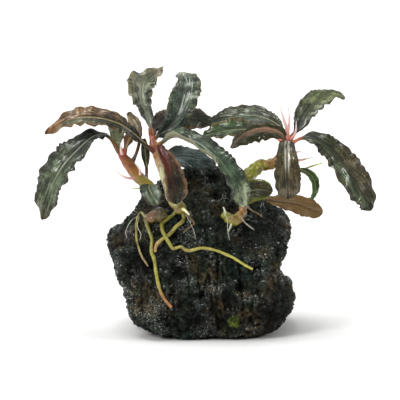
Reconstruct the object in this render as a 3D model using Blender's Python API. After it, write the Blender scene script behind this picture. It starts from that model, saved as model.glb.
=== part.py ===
"""Two clumps of a small water plant with wavy leaves, rooted on one piece of black lava stone.

Units are metres, +Z up. The origin is on the stone's flat foot, and the side where the roots
run down the stone faces -Y. Lengths in the tables are millimetres; MM turns them into metres.
"""

import math
from collections import namedtuple

import bmesh
import bpy
from mathutils import Vector, noise
from mathutils.bvhtree import BVHTree

MM = 0.001

# Clearance between neighbouring pieces, and what turns up again and again
GAP = 0.3
FOOT_GAP = 0.3
STEM_GAP = 0.2
PETIOLE_RADIUS = 0.36
BLADE_HALF_THICKNESS = 0.27
TIP_HALF_WIDTH = 0.3

# Stone: its outline seen from the front, (x, z), counter-clockwise from the right
STONE_CENTRE = Vector((0.0, 2.0, 17.0))
STONE_HALF_DEPTH = 15.5
STONE_OUTLINE = (
    (17.3, 15.5), (19.5, 21.2), (17.7, 25.7), (14.0, 28.8), (9.0, 33.5), (3.0, 35.5), (-4.5, 35.0),
    (-9.5, 31.6), (-13.4, 27.6), (-17.6, 22.8), (-20.3, 19.6), (-18.5, 14.5), (-15.5, 8.0), (-13.0, 1.5),
    (-6.0, -2.0), (3.0, -2.2), (11.0, -1.6), (17.0, 0.5), (20.0, 4.0), (20.2, 8.5), (18.2, 11.5),
)
STONE_SQUARENESS = 0.5
STONE_FRONT_HEIGHT = 0.60
STONE_TOP_BACK = 8.0
STONE_TRIANGLES = 2700
CUTTER_SIZE = 90.0
STONE_LUMPS = ((0.085, 1.3), (0.21, 0.9), (0.45, 0.35))
PIT_SPACING = 5.2
PIT_DEPTH = 1.5
PIT_WIDTH = 0.42

# How a piece is laid on the stone: tries, the step that lifts it, and the share of GAP it must keep
REST_STEPS = 4
LUMP_STEPS = 12
FORWARD_STEP = Vector((0.0, -0.1, 0.05))
TOWARDS_STONE = Vector((0.0, 1.0, 0.0))
IN_FRONT = -60.0
NEAR_ENOUGH = 0.98
LUMP_SHARE = 0.6

# Mesh detail: points round a section, rings along a piece, steps of a curve between two points
STEM_SIDES = 9
ROOT_SIDES = 6
SHEATH_SIDES = 5
SHEATH_RINGS = 6
FREE_ROOT_RINGS = 7
CURVE_STEPS = 16
LEAF_SECTION = ((-1, 0), (-0.55, 1), (0, 1), (0.55, 1), (1, 0), (0.55, -1), (0, -1), (-0.55, -1))
WIDTH_STEPS = (0.0, 0.1, 0.3, 0.5, 0.7, 0.9, 1.0)
OPENING = 0.12
STEM_END = 0.35
SHEATH_TIP = 0.1

# Stems: the centre line (x, y, z) and the radius at even steps along it
Stem = namedtuple("Stem", "name points radii resting")
STEMS = (
    Stem(
        "stem_left",
        ((-3.5, -12, 28), (-6, -10, 31), (-7.5, -8.5, 35), (-9, -7, 39), (-10, -6, 42),
         (-10.5, -5.2, 44.5)),
        (1.45, 1.25, 0.95, 0.9, 0.95, 0.85),
        1,
    ),
    Stem(
        "stem_left_side_shoot",
        ((-8.6, -9.5, 31.7), (-11, -8, 33.4), (-13.2, -7.5, 35), (-15.5, -7, 38), (-17.7, -6.5, 41)),
        (0.7, 1.1, 1.3, 1.15, 0.8),
        0,
    ),
    Stem(
        "stem_left_stub",
        ((-13.8, -10, 27.5), (-12, -11.5, 28), (-9.5, -12.5, 28.3), (-7.2, -12.5, 28.2)),
        (0.55, 1.0, 1.1, 0.75),
        4,
    ),
    Stem(
        "stem_right",
        (
            (5.3, -12, 28.7), (7.7, -12.5, 28.4), (9.5, -10.5, 29.2), (9.3, -5.5, 31.7), (10.8, -3.6, 35.3),
            (13.5, -3.5, 37.2), (16.5, -4, 38), (18.3, -5, 40.3), (19.2, -6, 43.2),
        ),
        (0.8, 1.1, 0.9, 0.85, 1.75, 1.35, 1.05, 0.95, 0.9),
        3,
    ),
)

# Leaves. The points follow the midrib from the petiole's foot to the tip. face is the direction
# of the upper side at the foot, the middle and the tip. left and right are half widths at 10, 30,
# 50, 70 and 90 % of the blade. fold tips each half up from the midrib and curl rolls it on towards
# its margin, in degrees, at the foot, the middle and the tip of the blade.
Leaf = namedtuple(
    "Leaf", "name stem points face left right petiole fold curl ruffle waves rings color",
)
FLAT = (0, 0, 0)
KEEL = (14, 12, 8)
GREEN_GREY = (0.13, 0.17, 0.13)
TEAL = (0.06, 0.12, 0.10)
OLIVE_BROWN = (0.14, 0.11, 0.05)
MAROON = (0.14, 0.06, 0.04)
DARK = (0.03, 0.045, 0.045)
YOUNG_GREEN = (0.12, 0.22, 0.08)
LEAVES = (
    Leaf(
        "leaf_left_long", "stem_left_side_shoot",
        ((-18.3, -6.5, 41.5), (-19.3, -7.5, 43.5), (-20.8, -8.3, 44.4), (-23, -9.8, 44), (-26, -11.3, 41.5),
         (-28.8, -12.2, 38.5), (-31, -12.5, 35), (-32.7, -12, 30.8), (-33.6, -11, 26.4)),
        ((0, -0.4, 0.9), (-0.5, -0.8, 0.45), (-0.7, -0.7, 0.1)),
        (1.5, 2.6, 3.2, 3.4, 2.0), (1.6, 3.4, 4.1, 3.9, 2.2),
        0.13, (KEEL, KEEL), (FLAT, FLAT), 0.4, 6, 16, GREEN_GREY,
    ),
    Leaf(
        "leaf_left_raised", "stem_left",
        ((-10.3, -7, 40.2), (-12, -8.3, 42.5), (-14.2, -9.3, 44.7), (-17.5, -10, 47), (-22.5, -9.8, 48.2),
         (-27.8, -9, 47.7), (-33.3, -8, 44.5)),
        ((-0.3, -0.5, 0.8), (-0.2, -0.7, 0.7), (-0.4, -0.75, 0.55)),
        (1.5, 2.3, 2.4, 2.2, 1.2), (1.5, 2.4, 2.6, 2.4, 1.3),
        0.22, (KEEL, KEEL), (FLAT, FLAT), 0.4, 6, 16, OLIVE_BROWN,
    ),
    Leaf(
        "leaf_left_upright", "stem_left",
        ((-10.8, -5.2, 44), (-11.2, -4.3, 48), (-12.3, -2.5, 50.3), (-13.1, 0, 53), (-13.3, 3, 55.3),
         (-12, 5.5, 56.8), (-8.8, 7.5, 57.5)),
        ((0, -0.9, 0.4), (0.1, -0.85, 0.5), (0.1, -0.4, 0.9)),
        (1.1, 2.1, 2.9, 3.1, 2.0), (1.0, 1.8, 2.6, 2.7, 1.6),
        0.1, (KEEL, KEEL), (FLAT, FLAT), 0.35, 5, 15, GREEN_GREY,
    ),
    Leaf(
        "leaf_left_broad", "stem_left",
        ((-9.5, -5, 43), (-7.3, -4.2, 45.7), (-5.5, -3, 48.5), (-3.7, 0, 52.3), (-2.8, 3, 54.8),
         (-2.4, 6, 56)),
        ((0.3, -0.9, 0.35), (0.1, -0.85, 0.5), (0, -0.5, 0.85)),
        (1.3, 2.5, 3.1, 3.2, 2.5), (1.3, 2.5, 3.2, 3.3, 2.4),
        0.14, (KEEL, KEEL), (FLAT, FLAT), 0.35, 5, 15, GREEN_GREY,
    ),
    Leaf(
        "leaf_left_dark_back", "stem_left",
        ((-10, -4.5, 43.7), (-8.6, -1.2, 46.5), (-5.5, 2.2, 47.8), (-1.5, 4.2, 47.6), (2.6, 5.2, 46.8)),
        ((0, -0.2, 1), (0, -0.55, 0.85), (0.2, -0.6, 0.75)),
        (1.7, 2.3, 2.4, 2.2, 1.4), (1.7, 2.3, 2.4, 2.2, 1.4),
        0.1, (KEEL, KEEL), (FLAT, FLAT), 0.35, 4, 13, DARK,
    ),
    Leaf(
        "leaf_left_arching", "stem_left",
        ((-9, -6, 41.5), (-6.3, -8.2, 43.9), (-3.5, -9.8, 44), (-0.7, -11.5, 43), (1.8, -13.2, 41.5),
         (4.2, -14.8, 39.5), (6.3, -16, 37), (8, -16.7, 34.3), (9.3, -16.5, 30)),
        ((0.1, -0.6, 0.8), (0.2, -0.8, 0.55), (0.45, -0.8, 0.4), (0.4, -0.9, 0.2)),
        (1.4, 2.3, 2.7, 2.8, 2.4), (1.6, 3.3, 3.5, 2.9, 2.4),
        0.12, (KEEL, (25, 10, 5)), (FLAT, (110, 80, 0)), 0.3, 6, 16, TEAL,
    ),
    Leaf(
        "leaf_left_hanging", "stem_left",
        ((-9.8, -6.8, 41), (-8.5, -9.3, 41.8), (-7.3, -11, 39.7), (-6.5, -12.2, 37), (-6.2, -13.2, 34.3),
         (-6, -14, 32), (-5.2, -14.4, 29.5)),
        ((0.1, -0.6, 0.8), (0.2, -0.95, 0.2), (0.2, -0.95, 0.2)),
        (1.0, 2.4, 3.2, 3.8, 3.0), (0.6, 1.0, 1.3, 1.4, 1.0),
        0.1, ((5, 0, 0), (60, 75, 60)), (FLAT, FLAT), 0.25, 4, 14, MAROON,
    ),
    Leaf(
        "leaf_left_on_stone", "stem_left_side_shoot",
        ((-11, -8.5, 33), (-11, -10.3, 33.2), (-10.2, -12.2, 31.8), (-9, -13.8, 29.8)),
        ((0, -0.5, 0.85), (0, -0.8, 0.6), (0, -0.9, 0.4)),
        (1.6, 2.1, 2.2, 2.0, 1.3), (1.6, 2.1, 2.2, 2.0, 1.3),
        0.1, (KEEL, KEEL), (FLAT, FLAT), 0.2, 3, 9, TEAL,
    ),
    Leaf(
        "leaf_left_glossy_back", "stem_left",
        ((-8.6, -6, 38), (-6, -3, 39), (-2.7, -0.8, 38.8), (0.5, 0.2, 37.9), (3.5, 0.5, 36.8)),
        ((0, -0.5, 0.85), (0.1, -0.75, 0.65), (0.2, -0.75, 0.65)),
        (1.5, 2.8, 3.1, 2.8, 1.7), (1.5, 2.8, 3.1, 2.8, 1.7),
        0.13, (FLAT, FLAT), ((-10, -15, -20), (-10, -15, -20)), 0.25, 3, 12, DARK,
    ),
    Leaf(
        "leaf_left_young_green", "stem_left_side_shoot",
        ((-17.8, -6, 41), (-17.8, -4.4, 43), (-18.1, -3.2, 45.3), (-19, -1.2, 48)),
        ((0, -0.9, 0.4), (0, -0.9, 0.4), (0, -0.8, 0.6)),
        (0.9, 1.5, 1.8, 1.6, 0.9), (0.9, 1.5, 1.8, 1.6, 0.9),
        0.2, (KEEL, KEEL), (FLAT, FLAT), 0.2, 3, 9, YOUNG_GREEN,
    ),
    Leaf(
        "leaf_left_hidden_brown", "stem_left_side_shoot",
        ((-14.8, -7, 37.7), (-13.8, -4.8, 40), (-13.2, -3.5, 42.8), (-14, -1.5, 45.6), (-15.7, 0, 48.5)),
        ((0, -0.9, 0.4), (0, -0.9, 0.4), (0, -0.8, 0.6)),
        (0.8, 1.4, 1.7, 1.5, 0.9), (0.8, 1.4, 1.7, 1.5, 0.9),
        0.5, (KEEL, KEEL), (FLAT, FLAT), 0.2, 3, 10, MAROON,
    ),
    Leaf(
        "leaf_left_young_red", "stem_left_side_shoot",
        ((-16.7, -6.8, 39.5), (-15.7, -7.4, 42.3), (-14.8, -7.2, 43.9), (-13.3, -6.8, 42.8)),
        ((-0.6, 0.7, 0.4), (-0.1, 0.8, 0.6), (0.5, 0.8, 0.3)),
        (0.6, 1.0, 1.2, 1.0, 0.6), (0.6, 1.0, 1.2, 1.0, 0.6),
        0.3, (KEEL, KEEL), (FLAT, FLAT), 0.1, 2, 8, MAROON,
    ),
    Leaf(
        "leaf_left_narrow_back", "stem_left_side_shoot",
        ((-11.6, -7.5, 34), (-11.6, -4.4, 35.9), (-11.9, -3.5, 40), (-12.2, -2.3, 43)),
        ((0.3, -0.9, 0.3), (0.3, -0.9, 0.3), (0.2, -0.9, 0.4)),
        (0.6, 0.9, 1.0, 0.9, 0.5), (0.6, 0.9, 1.0, 0.9, 0.5),
        0.45, (KEEL, KEEL), (FLAT, FLAT), 0.1, 2, 9, DARK,
    ),
    Leaf(
        "leaf_right_back", "stem_right",
        ((18.9, -5.7, 43), (16.8, -3.4, 46), (12.5, 0, 47.6), (7.5, 2, 47.2), (1.5, 3, 45.8)),
        ((-0.2, -0.5, 0.8), (-0.1, -0.65, 0.75), (-0.3, -0.65, 0.7)),
        (1.2, 2.2, 2.7, 2.7, 1.8), (1.2, 2.2, 2.7, 2.7, 1.8),
        0.12, (KEEL, KEEL), (FLAT, FLAT), 0.4, 5, 14, TEAL,
    ),
    Leaf(
        "leaf_right_curly", "stem_right",
        ((18.7, -5.7, 42), (15, -4.6, 44.3), (10, -3.6, 45), (5, -3.4, 44.6), (0.6, -3.4, 43.6)),
        ((0, -0.6, 0.8), (0, -0.65, 0.75), (-0.2, -0.7, 0.7)),
        (0.6, 1.3, 1.6, 1.6, 1.1), (0.6, 1.3, 1.6, 1.6, 1.1),
        0.25, (KEEL, KEEL), (FLAT, FLAT), 0.45, 5, 13, YOUNG_GREEN,
    ),
    Leaf(
        "leaf_right_front", "stem_right",
        ((18.6, -6.2, 41.7), (17, -8.6, 45), (13.5, -10, 46), (10, -10.8, 45.2), (7.8, -11, 43.6),
         (6.5, -11, 41.8)),
        ((-0.3, 0.2, 0.9), (-0.2, 0.6, 0.75), (-0.5, 0.6, 0.6)),
        (0.9, 1.2, 1.3, 1.2, 0.8), (1.2, 2.6, 3.2, 3.0, 1.7),
        0.12, (FLAT, FLAT), (FLAT, (-90, -120, -60)), 0.25, 5, 14, MAROON,
    ),
    Leaf(
        "leaf_right_upright", "stem_right",
        ((19.4, -5.8, 43), (21.4, -3.7, 45.6), (23.3, -0.5, 48.7), (26, 2.3, 51), (29, 4.3, 51.9),
         (32.2, 5.5, 51.3)),
        ((-0.1, -0.85, 0.5), (-0.2, -0.8, 0.6), (0, -0.6, 0.8)),
        (1.3, 2.3, 2.7, 2.5, 1.0), (1.3, 2.4, 2.8, 2.5, 1.0),
        0.12, (KEEL, KEEL), (FLAT, FLAT), 0.35, 5, 15, GREEN_GREY,
    ),
    Leaf(
        "leaf_right_long", "stem_right",
        ((19.2, -5.8, 41.3), (21.8, -8, 43.6), (24.8, -9.3, 43.6), (28.3, -10.5, 41), (31.8, -11, 36.7),
         (34.8, -10.5, 32), (36.8, -10, 28.3)),
        ((0, -0.5, 0.85), (0.3, -0.85, 0.4), (0.5, -0.85, 0.15)),
        (1.6, 2.8, 3.4, 3.5, 2.5), (1.6, 2.7, 3.3, 3.6, 2.6),
        0.16, (KEEL, KEEL), (FLAT, FLAT), 0.4, 6, 16, GREEN_GREY,
    ),
    Leaf(
        "leaf_right_hanging", "stem_right",
        ((19.1, -6.6, 41), (18.7, -9.3, 42.9), (18.5, -11.8, 41.6), (18.5, -13.2, 38.5), (18.6, -13.6, 35),
         (19, -13.2, 31.2)),
        ((0, -0.4, 0.9), (0, -0.97, 0.25), (0, -1, 0)),
        (1.7, 2.5, 2.9, 3.0, 2.3), (1.9, 2.5, 2.8, 2.8, 2.2),
        0.18, (KEEL, KEEL), (FLAT, FLAT), 0.2, 4, 14, OLIVE_BROWN,
    ),
    Leaf(
        "leaf_right_low", "stem_right",
        ((10.6, -8.5, 30.6), (13.3, -8.4, 30.6), (16.8, -7.5, 30.1), (20.8, -7, 29.4), (24, -7.2, 28.3),
         (26.5, -7.5, 27.2)),
        ((0, 0.7, 0.7), (0.1, 0.8, 0.6), (0.2, 0.85, 0.5)),
        (1.0, 2.0, 2.6, 2.8, 2.2), (1.0, 2.0, 2.6, 2.9, 2.2),
        0.25, (FLAT, FLAT), ((0, -10, -10), (0, -10, -10)), 0.2, 4, 13, MAROON,
    ),
    Leaf(
        "leaf_right_small_curl", "stem_right",
        ((17.3, -4.6, 38.3), (20, -7, 37.1), (22.8, -8.8, 36.5), (24.5, -9.6, 34.7), (24.6, -10, 32.5),
         (24, -10, 30.5)),
        ((0, -0.5, 0.85), (0.5, -0.8, 0.3), (0.6, -0.8, 0)),
        (0.6, 1.0, 1.1, 1.0, 0.6), (0.6, 1.0, 1.1, 1.0, 0.6),
        0.4, (KEEL, KEEL), (FLAT, FLAT), 0.1, 3, 10, YOUNG_GREEN,
    ),
    Leaf(
        "leaf_right_round", "stem_right",
        ((10.5, -8, 31), (11, -10, 32.4), (13, -11.2, 32.9), (15.6, -11.4, 32.7)),
        ((-0.2, -0.8, 0.5), (0, -0.9, 0.4), (0.1, -0.95, 0.3)),
        (1.4, 2.1, 2.3, 2.2, 1.6), (1.4, 2.1, 2.3, 2.2, 1.6),
        0.15, (KEEL, KEEL), (FLAT, FLAT), 0.1, 3, 9, OLIVE_BROWN,
    ),
)

# Pink sheaths that wrapped the young leaves: foot and point, and the stem they stand on
Sheath = namedtuple("Sheath", "name stem points radius")
SHEATHS = (
    Sheath(
        "sheath_right_top_long", "stem_right",
        ((18.9, -6.2, 43.2), (18.8, -6.4, 45.2), (17.9, -6.6, 48), (17, -6.5, 51)), 0.4,
    ),
    Sheath(
        "sheath_right_top_short", "stem_right",
        ((19, -5.6, 41.9), (19.1, -4, 44), (19.3, -4.2, 47.5), (19.1, -4.6, 50.5)), 0.28,
    ),
    Sheath(
        "sheath_right_brown", "stem_right",
        ((19.3, -6.1, 42.8), (20.5, -6.7, 44.5), (20.7, -7.2, 47.3)), 0.32,
    ),
    Sheath(
        "sheath_right_side", "stem_right",
        ((18.2, -5, 38.6), (21, -6.6, 38.7), (24.5, -7.4, 39.5)), 0.45,
    ),
    Sheath(
        "sheath_right_side_short", "stem_right",
        ((18.6, -5, 40.3), (20.6, -6.4, 40.4), (22, -7, 40.8)), 0.32,
    ),
    Sheath(
        "sheath_left_low", "stem_left_side_shoot",
        ((-13.4, -8, 34.8), (-16, -10, 35.4), (-19, -9.8, 37.4)), 0.33,
    ),
    Sheath(
        "sheath_left_inner", "stem_left_side_shoot",
        ((-13, -7.8, 35), (-12.9, -9.3, 36.8), (-14, -9.6, 38.7)), 0.3,
    ),
    Sheath(
        "sheath_left_top", "stem_left_side_shoot",
        ((-16.6, -6.8, 39.4), (-17, -8.5, 41.2), (-17, -9, 42.8)), 0.33,
    ),
)

# Roots that lie on the stone's front: (x, z) places in front view, and the radius at foot and tip
Root = namedtuple("Root", "name places lift radius tip rings")
ROOTS = (
    Root(
        "root_left_outer",
        ((-13.2, 25.7), (-13.8, 24), (-13.5, 21.5), (-12.5, 19), (-11, 16)),
        0, 0.45, 0.25, 9,
    ),
    Root(
        "root_left_down",
        ((-11.5, 24.8), (-10.8, 22.5), (-10.5, 19), (-9.5, 16), (-9, 12), (-7.8, 9.3), (-6, 7.5)),
        0, 0.5, 0.32, 13,
    ),
    Root(
        "root_long_across",
        ((-6.2, 26.8), (-8.5, 25), (-7.6, 22.7), (-5.5, 20.6), (-4, 21.1), (-1.5, 19.5), (1.5, 20),
         (4.5, 19.5), (7.5, 18), (10, 16.5), (12, 15.5)),
        1, 0.5, 0.32, 19,
    ),
    Root(
        "root_crossing",
        ((-3, 26.6), (-3.5, 25.5), (-6, 23.7), (-7.6, 22.1), (-9, 20.2)),
        0, 0.5, 0.4, 9,
    ),
    Root("root_brown_short", ((-1.2, 26.2), (-2, 25.2), (-3.6, 24)), 0, 0.3, 0.2, 5),
    Root("root_right_down", ((6.6, 25.2), (6, 24.1)), 0, 0.28, 0.15, 4),
    Root("root_right_tan", ((11.3, 27.3), (12.2, 27), (13.5, 26)), 0, 0.3, 0.2, 5),
    Root("root_right_grey", ((9.3, 25.8), (10.5, 25), (11.7, 24)), 0, 0.25, 0.15, 5),
)
ROOT_CROSSING_HEIGHT = 1.35
ROOT_CROSSING_PLACE = (-7.4, 22.5)
ROOT_CROSSING_REACH = 2.2
ROOT_CROSSING_EASE = 1.6

# Roots and root stubs that stand free of the stone: points, then the radius at foot and tip
FreeRoot = namedtuple("FreeRoot", "name stem points radius tip")
FREE_ROOTS = (
    FreeRoot(
        "root_stub_left", "stem_left",
        ((-5, -12, 29), (-3.2, -14.3, 28.9), (-2.2, -14.6, 27.9)),
        0.35, 0.25,
    ),
    FreeRoot(
        "root_stub_right", "stem_right",
        ((5.8, -12, 28.5), (5.2, -13.6, 28.9), (4.9, -14, 29.6)),
        0.3, 0.15,
    ),
    FreeRoot(
        "root_tip_left", "stem_left_side_shoot",
        ((-11.2, -8, 33.5), (-12.8, -9.6, 33), (-14.7, -10.2, 33)),
        0.22, 0.12,
    ),
    FreeRoot(
        "root_free_right", "stem_right",
        ((16, -4, 38), (18.8, -3.6, 36.5), (22.3, -4.8, 36.6), (24.5, -5.6, 37.4), (26.6, -6.2, 38.1)),
        0.32, 0.16,
    ),
)


def smooth(points, count):
    """`count` points at even distances along a smooth curve through `points`."""
    points = [Vector(point) for point in points]
    ends = [2 * points[0] - points[1], *points, 2 * points[-1] - points[-2]]
    fine = []
    for index in range(1, len(ends) - 2):
        before, start, end, after = ends[index - 1:index + 3]
        for step in range(CURVE_STEPS):
            fine.append(between(before, start, end, after, step / CURVE_STEPS))
    fine.append(points[-1])
    lengths = [0.0]
    for here, there in zip(fine, fine[1:]):
        lengths.append(lengths[-1] + (there - here).length)
    found = []
    index = 0
    for number in range(count):
        wanted = lengths[-1] * number / (count - 1)
        while index < len(fine) - 2 and lengths[index + 1] < wanted:
            index += 1
        part = (wanted - lengths[index]) / (lengths[index + 1] - lengths[index])
        found.append(fine[index].lerp(fine[index + 1], min(part, 1.0)))
    return found


def between(before, start, end, after, part):
    """A point of the Catmull-Rom curve that runs from `start` to `end`."""
    square = part * part
    cube = square * part
    bend = 2 * before - 5 * start + 4 * end - after
    turn = 3 * start - before - 3 * end + after
    return 0.5 * (2 * start + (end - before) * part + bend * square + turn * cube)


def tangents(points):
    """The unit direction of the line at each of its points."""
    ends = [points[0], *points, points[-1]]
    return [(ends[index + 2] - ends[index]).normalized() for index in range(len(points))]


def along(values, part):
    """The value at `part`, 0 to 1, of a smooth run through evenly spaced `values`."""
    place = min(max(part, 0.0), 1.0) * (len(values) - 1)
    index = min(int(place), len(values) - 2)
    part = place - index
    part = part * part * (3 - 2 * part)
    return values[index] * (1 - part) + values[index + 1] * part


def ease(part):
    """0 to 1 with soft ends."""
    part = min(max(part, 0.0), 1.0)
    return part * part * (3 - 2 * part)


def material(name, color, roughness):
    made = bpy.data.materials.new(name)
    made.use_nodes = True
    shader = made.node_tree.nodes["Principled BSDF"]
    shader.inputs["Base Color"].default_value = (*color, 1.0)
    shader.inputs["Roughness"].default_value = roughness
    shader.inputs["Metallic"].default_value = 0.0
    return made


def add_object(name, mesh, finish, smooth_shaded=True):
    piece = bpy.data.objects.new(name, mesh)
    bpy.context.scene.collection.objects.link(piece)
    mesh.materials.append(finish)
    if smooth_shaded:
        mesh.shade_smooth()
    return piece


def lofted(name, rings):
    """A closed mesh through rings of points, in millimetres, with both ends capped.

    The second half of each ring is split into triangles as a mirror image of the first, so that
    the upper and the lower skin of a thin blade never cross.
    """
    mesh = bpy.data.meshes.new(name)
    shape = bmesh.new()
    rows = [[shape.verts.new(point * MM) for point in ring] for ring in rings]
    for row, following in zip(rows, rows[1:]):
        for index in range(len(row)):
            after = (index + 1) % len(row)
            near, far = (row[index], row[after]), (following[index], following[after])
            if index < len(row) // 2:
                shape.faces.new((near[0], near[1], far[1]))
                shape.faces.new((near[0], far[1], far[0]))
            else:
                shape.faces.new((near[0], near[1], far[0]))
                shape.faces.new((near[1], far[1], far[0]))
    shape.faces.new(reversed(rows[0]))
    shape.faces.new(rows[-1])
    bmesh.ops.recalc_face_normals(shape, faces=shape.faces)
    shape.to_mesh(mesh)
    shape.free()
    return mesh


def tube_rings(points, radii, sides):
    """Round rings square to a line of points."""
    rings = []
    side = Vector((0.0, -1.0, 0.2))
    for point, direction, radius in zip(points, tangents(points), radii):
        side = (side - direction * side.dot(direction)).normalized()
        other = direction.cross(side)
        ring = []
        for number in range(sides):
            angle = 2 * math.pi * number / sides
            ring.append(point + radius * (math.cos(angle) * side + math.sin(angle) * other))
        rings.append(ring)
    return rings


def outline_reach(angle, outline_angles, outline_radii):
    """How far the stone's outline is from its middle at this angle of the front view."""
    count = len(outline_angles)
    for index in range(count):
        start = outline_angles[index]
        width = (outline_angles[(index + 1) % count] - start) % (2 * math.pi)
        part = ((angle - start) % (2 * math.pi)) / width
        if part <= 1.0:
            radii = [outline_radii[(index + step) % count] for step in (-1, 0, 1, 2)]
            return between(*radii, part)
    return outline_radii[0]


def pit(point):
    """Depth of the hollows that gas bubbles left at this point of the stone."""
    distance = noise.voronoi(point / PIT_SPACING, distance_metric="DISTANCE")[0][0]
    return PIT_DEPTH * ease(1 - distance / PIT_WIDTH)


def stone_mesh():
    """A blunt block with the outline of the front view, a top that climbs to the back, lumps and pits."""
    mesh = bpy.data.meshes.new("stone")
    shape = bmesh.new()
    bmesh.ops.create_icosphere(shape, subdivisions=6, radius=1.0)
    offsets = [(x - STONE_CENTRE.x, z - STONE_CENTRE.z) for x, z in STONE_OUTLINE]
    angles = [math.atan2(z, x) for x, z in offsets]
    radii = [math.hypot(x, z) for x, z in offsets]
    for vert in shape.verts:
        way = vert.co.normalized()
        angle = math.atan2(way.z, way.x)
        depth = math.copysign(abs(way.y) ** STONE_SQUARENESS, way.y)
        across = max(1 - way.y * way.y, 0.0) ** (STONE_SQUARENESS / 2)
        reach = outline_reach(angle, angles, radii) * across
        place = STONE_CENTRE + Vector((
            reach * math.cos(angle), depth * STONE_HALF_DEPTH, reach * math.sin(angle),
        ))
        front = STONE_CENTRE.y - STONE_HALF_DEPTH
        climb = ease((place.y - front) / (STONE_TOP_BACK - front))
        if place.z > STONE_CENTRE.z:
            height = STONE_FRONT_HEIGHT + (1 - STONE_FRONT_HEIGHT) * climb
            place.z = STONE_CENTRE.z + (place.z - STONE_CENTRE.z) * height
        vert.co = place
    shape.normal_update()
    for vert in shape.verts:
        lift = sum(size * noise.noise(vert.co * pace) for pace, size in STONE_LUMPS)
        vert.co = vert.co + vert.normal * (lift - pit(vert.co))
    for vert in shape.verts:
        vert.co *= MM
    triangles = len(shape.faces)
    shape.to_mesh(mesh)
    shape.free()
    return mesh, triangles


def foot_cutter():
    """A block under z = 0 that cuts the stone's foot flat."""
    mesh = bpy.data.meshes.new("foot_cutter")
    shape = bmesh.new()
    bmesh.ops.create_cube(shape, size=CUTTER_SIZE * MM)
    bmesh.ops.translate(shape, vec=(0.0, 0.0, -0.5 * CUTTER_SIZE * MM), verts=shape.verts)
    shape.to_mesh(mesh)
    shape.free()
    cutter = bpy.data.objects.new("foot_cutter", mesh)
    bpy.context.scene.collection.objects.link(cutter)
    cutter.hide_render = True
    cutter.display_type = "WIRE"
    return cutter


def make_stone():
    mesh, triangles = stone_mesh()
    stone = add_object("stone", mesh, material("black_lava", (0.02, 0.022, 0.024), 0.5), False)
    coarser = stone.modifiers.new("fewer faces", "DECIMATE")
    coarser.ratio = STONE_TRIANGLES / triangles
    flat = stone.modifiers.new("flat foot", "BOOLEAN")
    flat.operation = "DIFFERENCE"
    flat.solver = "EXACT"
    flat.object = foot_cutter()
    return stone


def stone_surface(stone):
    bpy.context.view_layer.update()
    return BVHTree.FromObject(stone, bpy.context.evaluated_depsgraph_get())


def rest_on(surface, point, clearance):
    """Moves a point, in millimetres, square to the stone until it is `clearance` away from it."""
    for _ in range(REST_STEPS):
        place, normal, _, _ = surface.find_nearest(point * MM)
        away = point * MM - place
        if away.dot(normal) < 0:
            away = normal
        point = (place + away.normalized() * clearance * MM) / MM
    while surface.find_nearest(point * MM)[3] < clearance * MM * NEAR_ENOUGH:
        point = point + FORWARD_STEP
    return point


def keep_off(surface, point, clearance):
    """The same, but only where the point is nearer than `clearance`."""
    place, normal, _, distance = surface.find_nearest(point * MM)
    inside = (point * MM - place).dot(normal) < 0
    if inside or distance < clearance * MM:
        return rest_on(surface, point, clearance)
    return point


def clear_between(surface, centre, radii):
    """Lifts a root off the lumps that lie between two of its points."""
    for _ in range(LUMP_STEPS):
        for index in range(len(centre) - 1):
            middle = centre[index].lerp(centre[index + 1], 0.5)
            if surface.find_nearest(middle * MM)[3] < (radii[index] + LUMP_SHARE * GAP) * MM:
                centre[index] = centre[index] + FORWARD_STEP
                centre[index + 1] = centre[index + 1] + FORWARD_STEP


def rounded_radii(points, radii):
    """Radii along a stem, closing in a round end."""
    count = len(points)
    length = sum((there - here).length for here, there in zip(points, points[1:]))
    found = []
    for number in range(count):
        radius = along(radii, number / (count - 1))
        left = length * (1 - number / (count - 1)) / radii[-1]
        done = length * number / (count - 1) / radii[0]
        for room in (left, done):
            if room < 1:
                radius *= max(math.sqrt(1 - (1 - room) ** 2), STEM_END)
        found.append(radius)
    return found


def stem_line(stem, surface, count):
    """Centre line of a stem. Its first `resting` points lie on the stone."""
    points = [Vector(point) for point in stem.points]
    for index in range(len(points)):
        radius = along(stem.radii, index / (len(points) - 1))
        if index < stem.resting:
            points[index] = rest_on(surface, points[index], radius + GAP)
    line = []
    for number, point in enumerate(smooth(points, count)):
        radius = along(stem.radii, number / (count - 1))
        line.append(keep_off(surface, point, radius + GAP))
    return line


def foot_on(line, radii, near, towards, radius):
    """Where a petiole or a root starts: just outside the stem's skin, on the side it grows to."""
    best = min(range(1, len(line) - 1), key=lambda number: (line[number] - near).length)
    way = (towards - line[best]).normalized()
    squareness = math.sqrt(max(1 - way.dot(tangents(line)[best]) ** 2, 0.0))
    return line[best] + way * (radii[best] + FOOT_GAP + radius * (1 - squareness))


def clear_of_stem(points, line, stem_radii, radius):
    """Keeps a petiole, sheath or root off the skin of the stem that it grows beside."""
    cleared = [points[0]]
    for point in points[1:]:
        best = min(range(len(line)), key=lambda number: (line[number] - point).length)
        away = point - line[best]
        least = stem_radii[best] + radius + STEM_GAP
        cleared.append(line[best] + away.normalized() * max(away.length, least))
    return cleared


def leaf_frames(points, face):
    """Side and upper direction at each point of a midrib."""
    frames = []
    for number, direction in enumerate(tangents(points)):
        upper = along([Vector(way).normalized() for way in face], number / (len(points) - 1))
        upper = (upper - direction * upper.dot(direction)).normalized()
        frames.append((direction.cross(upper), upper))
    return frames


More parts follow.
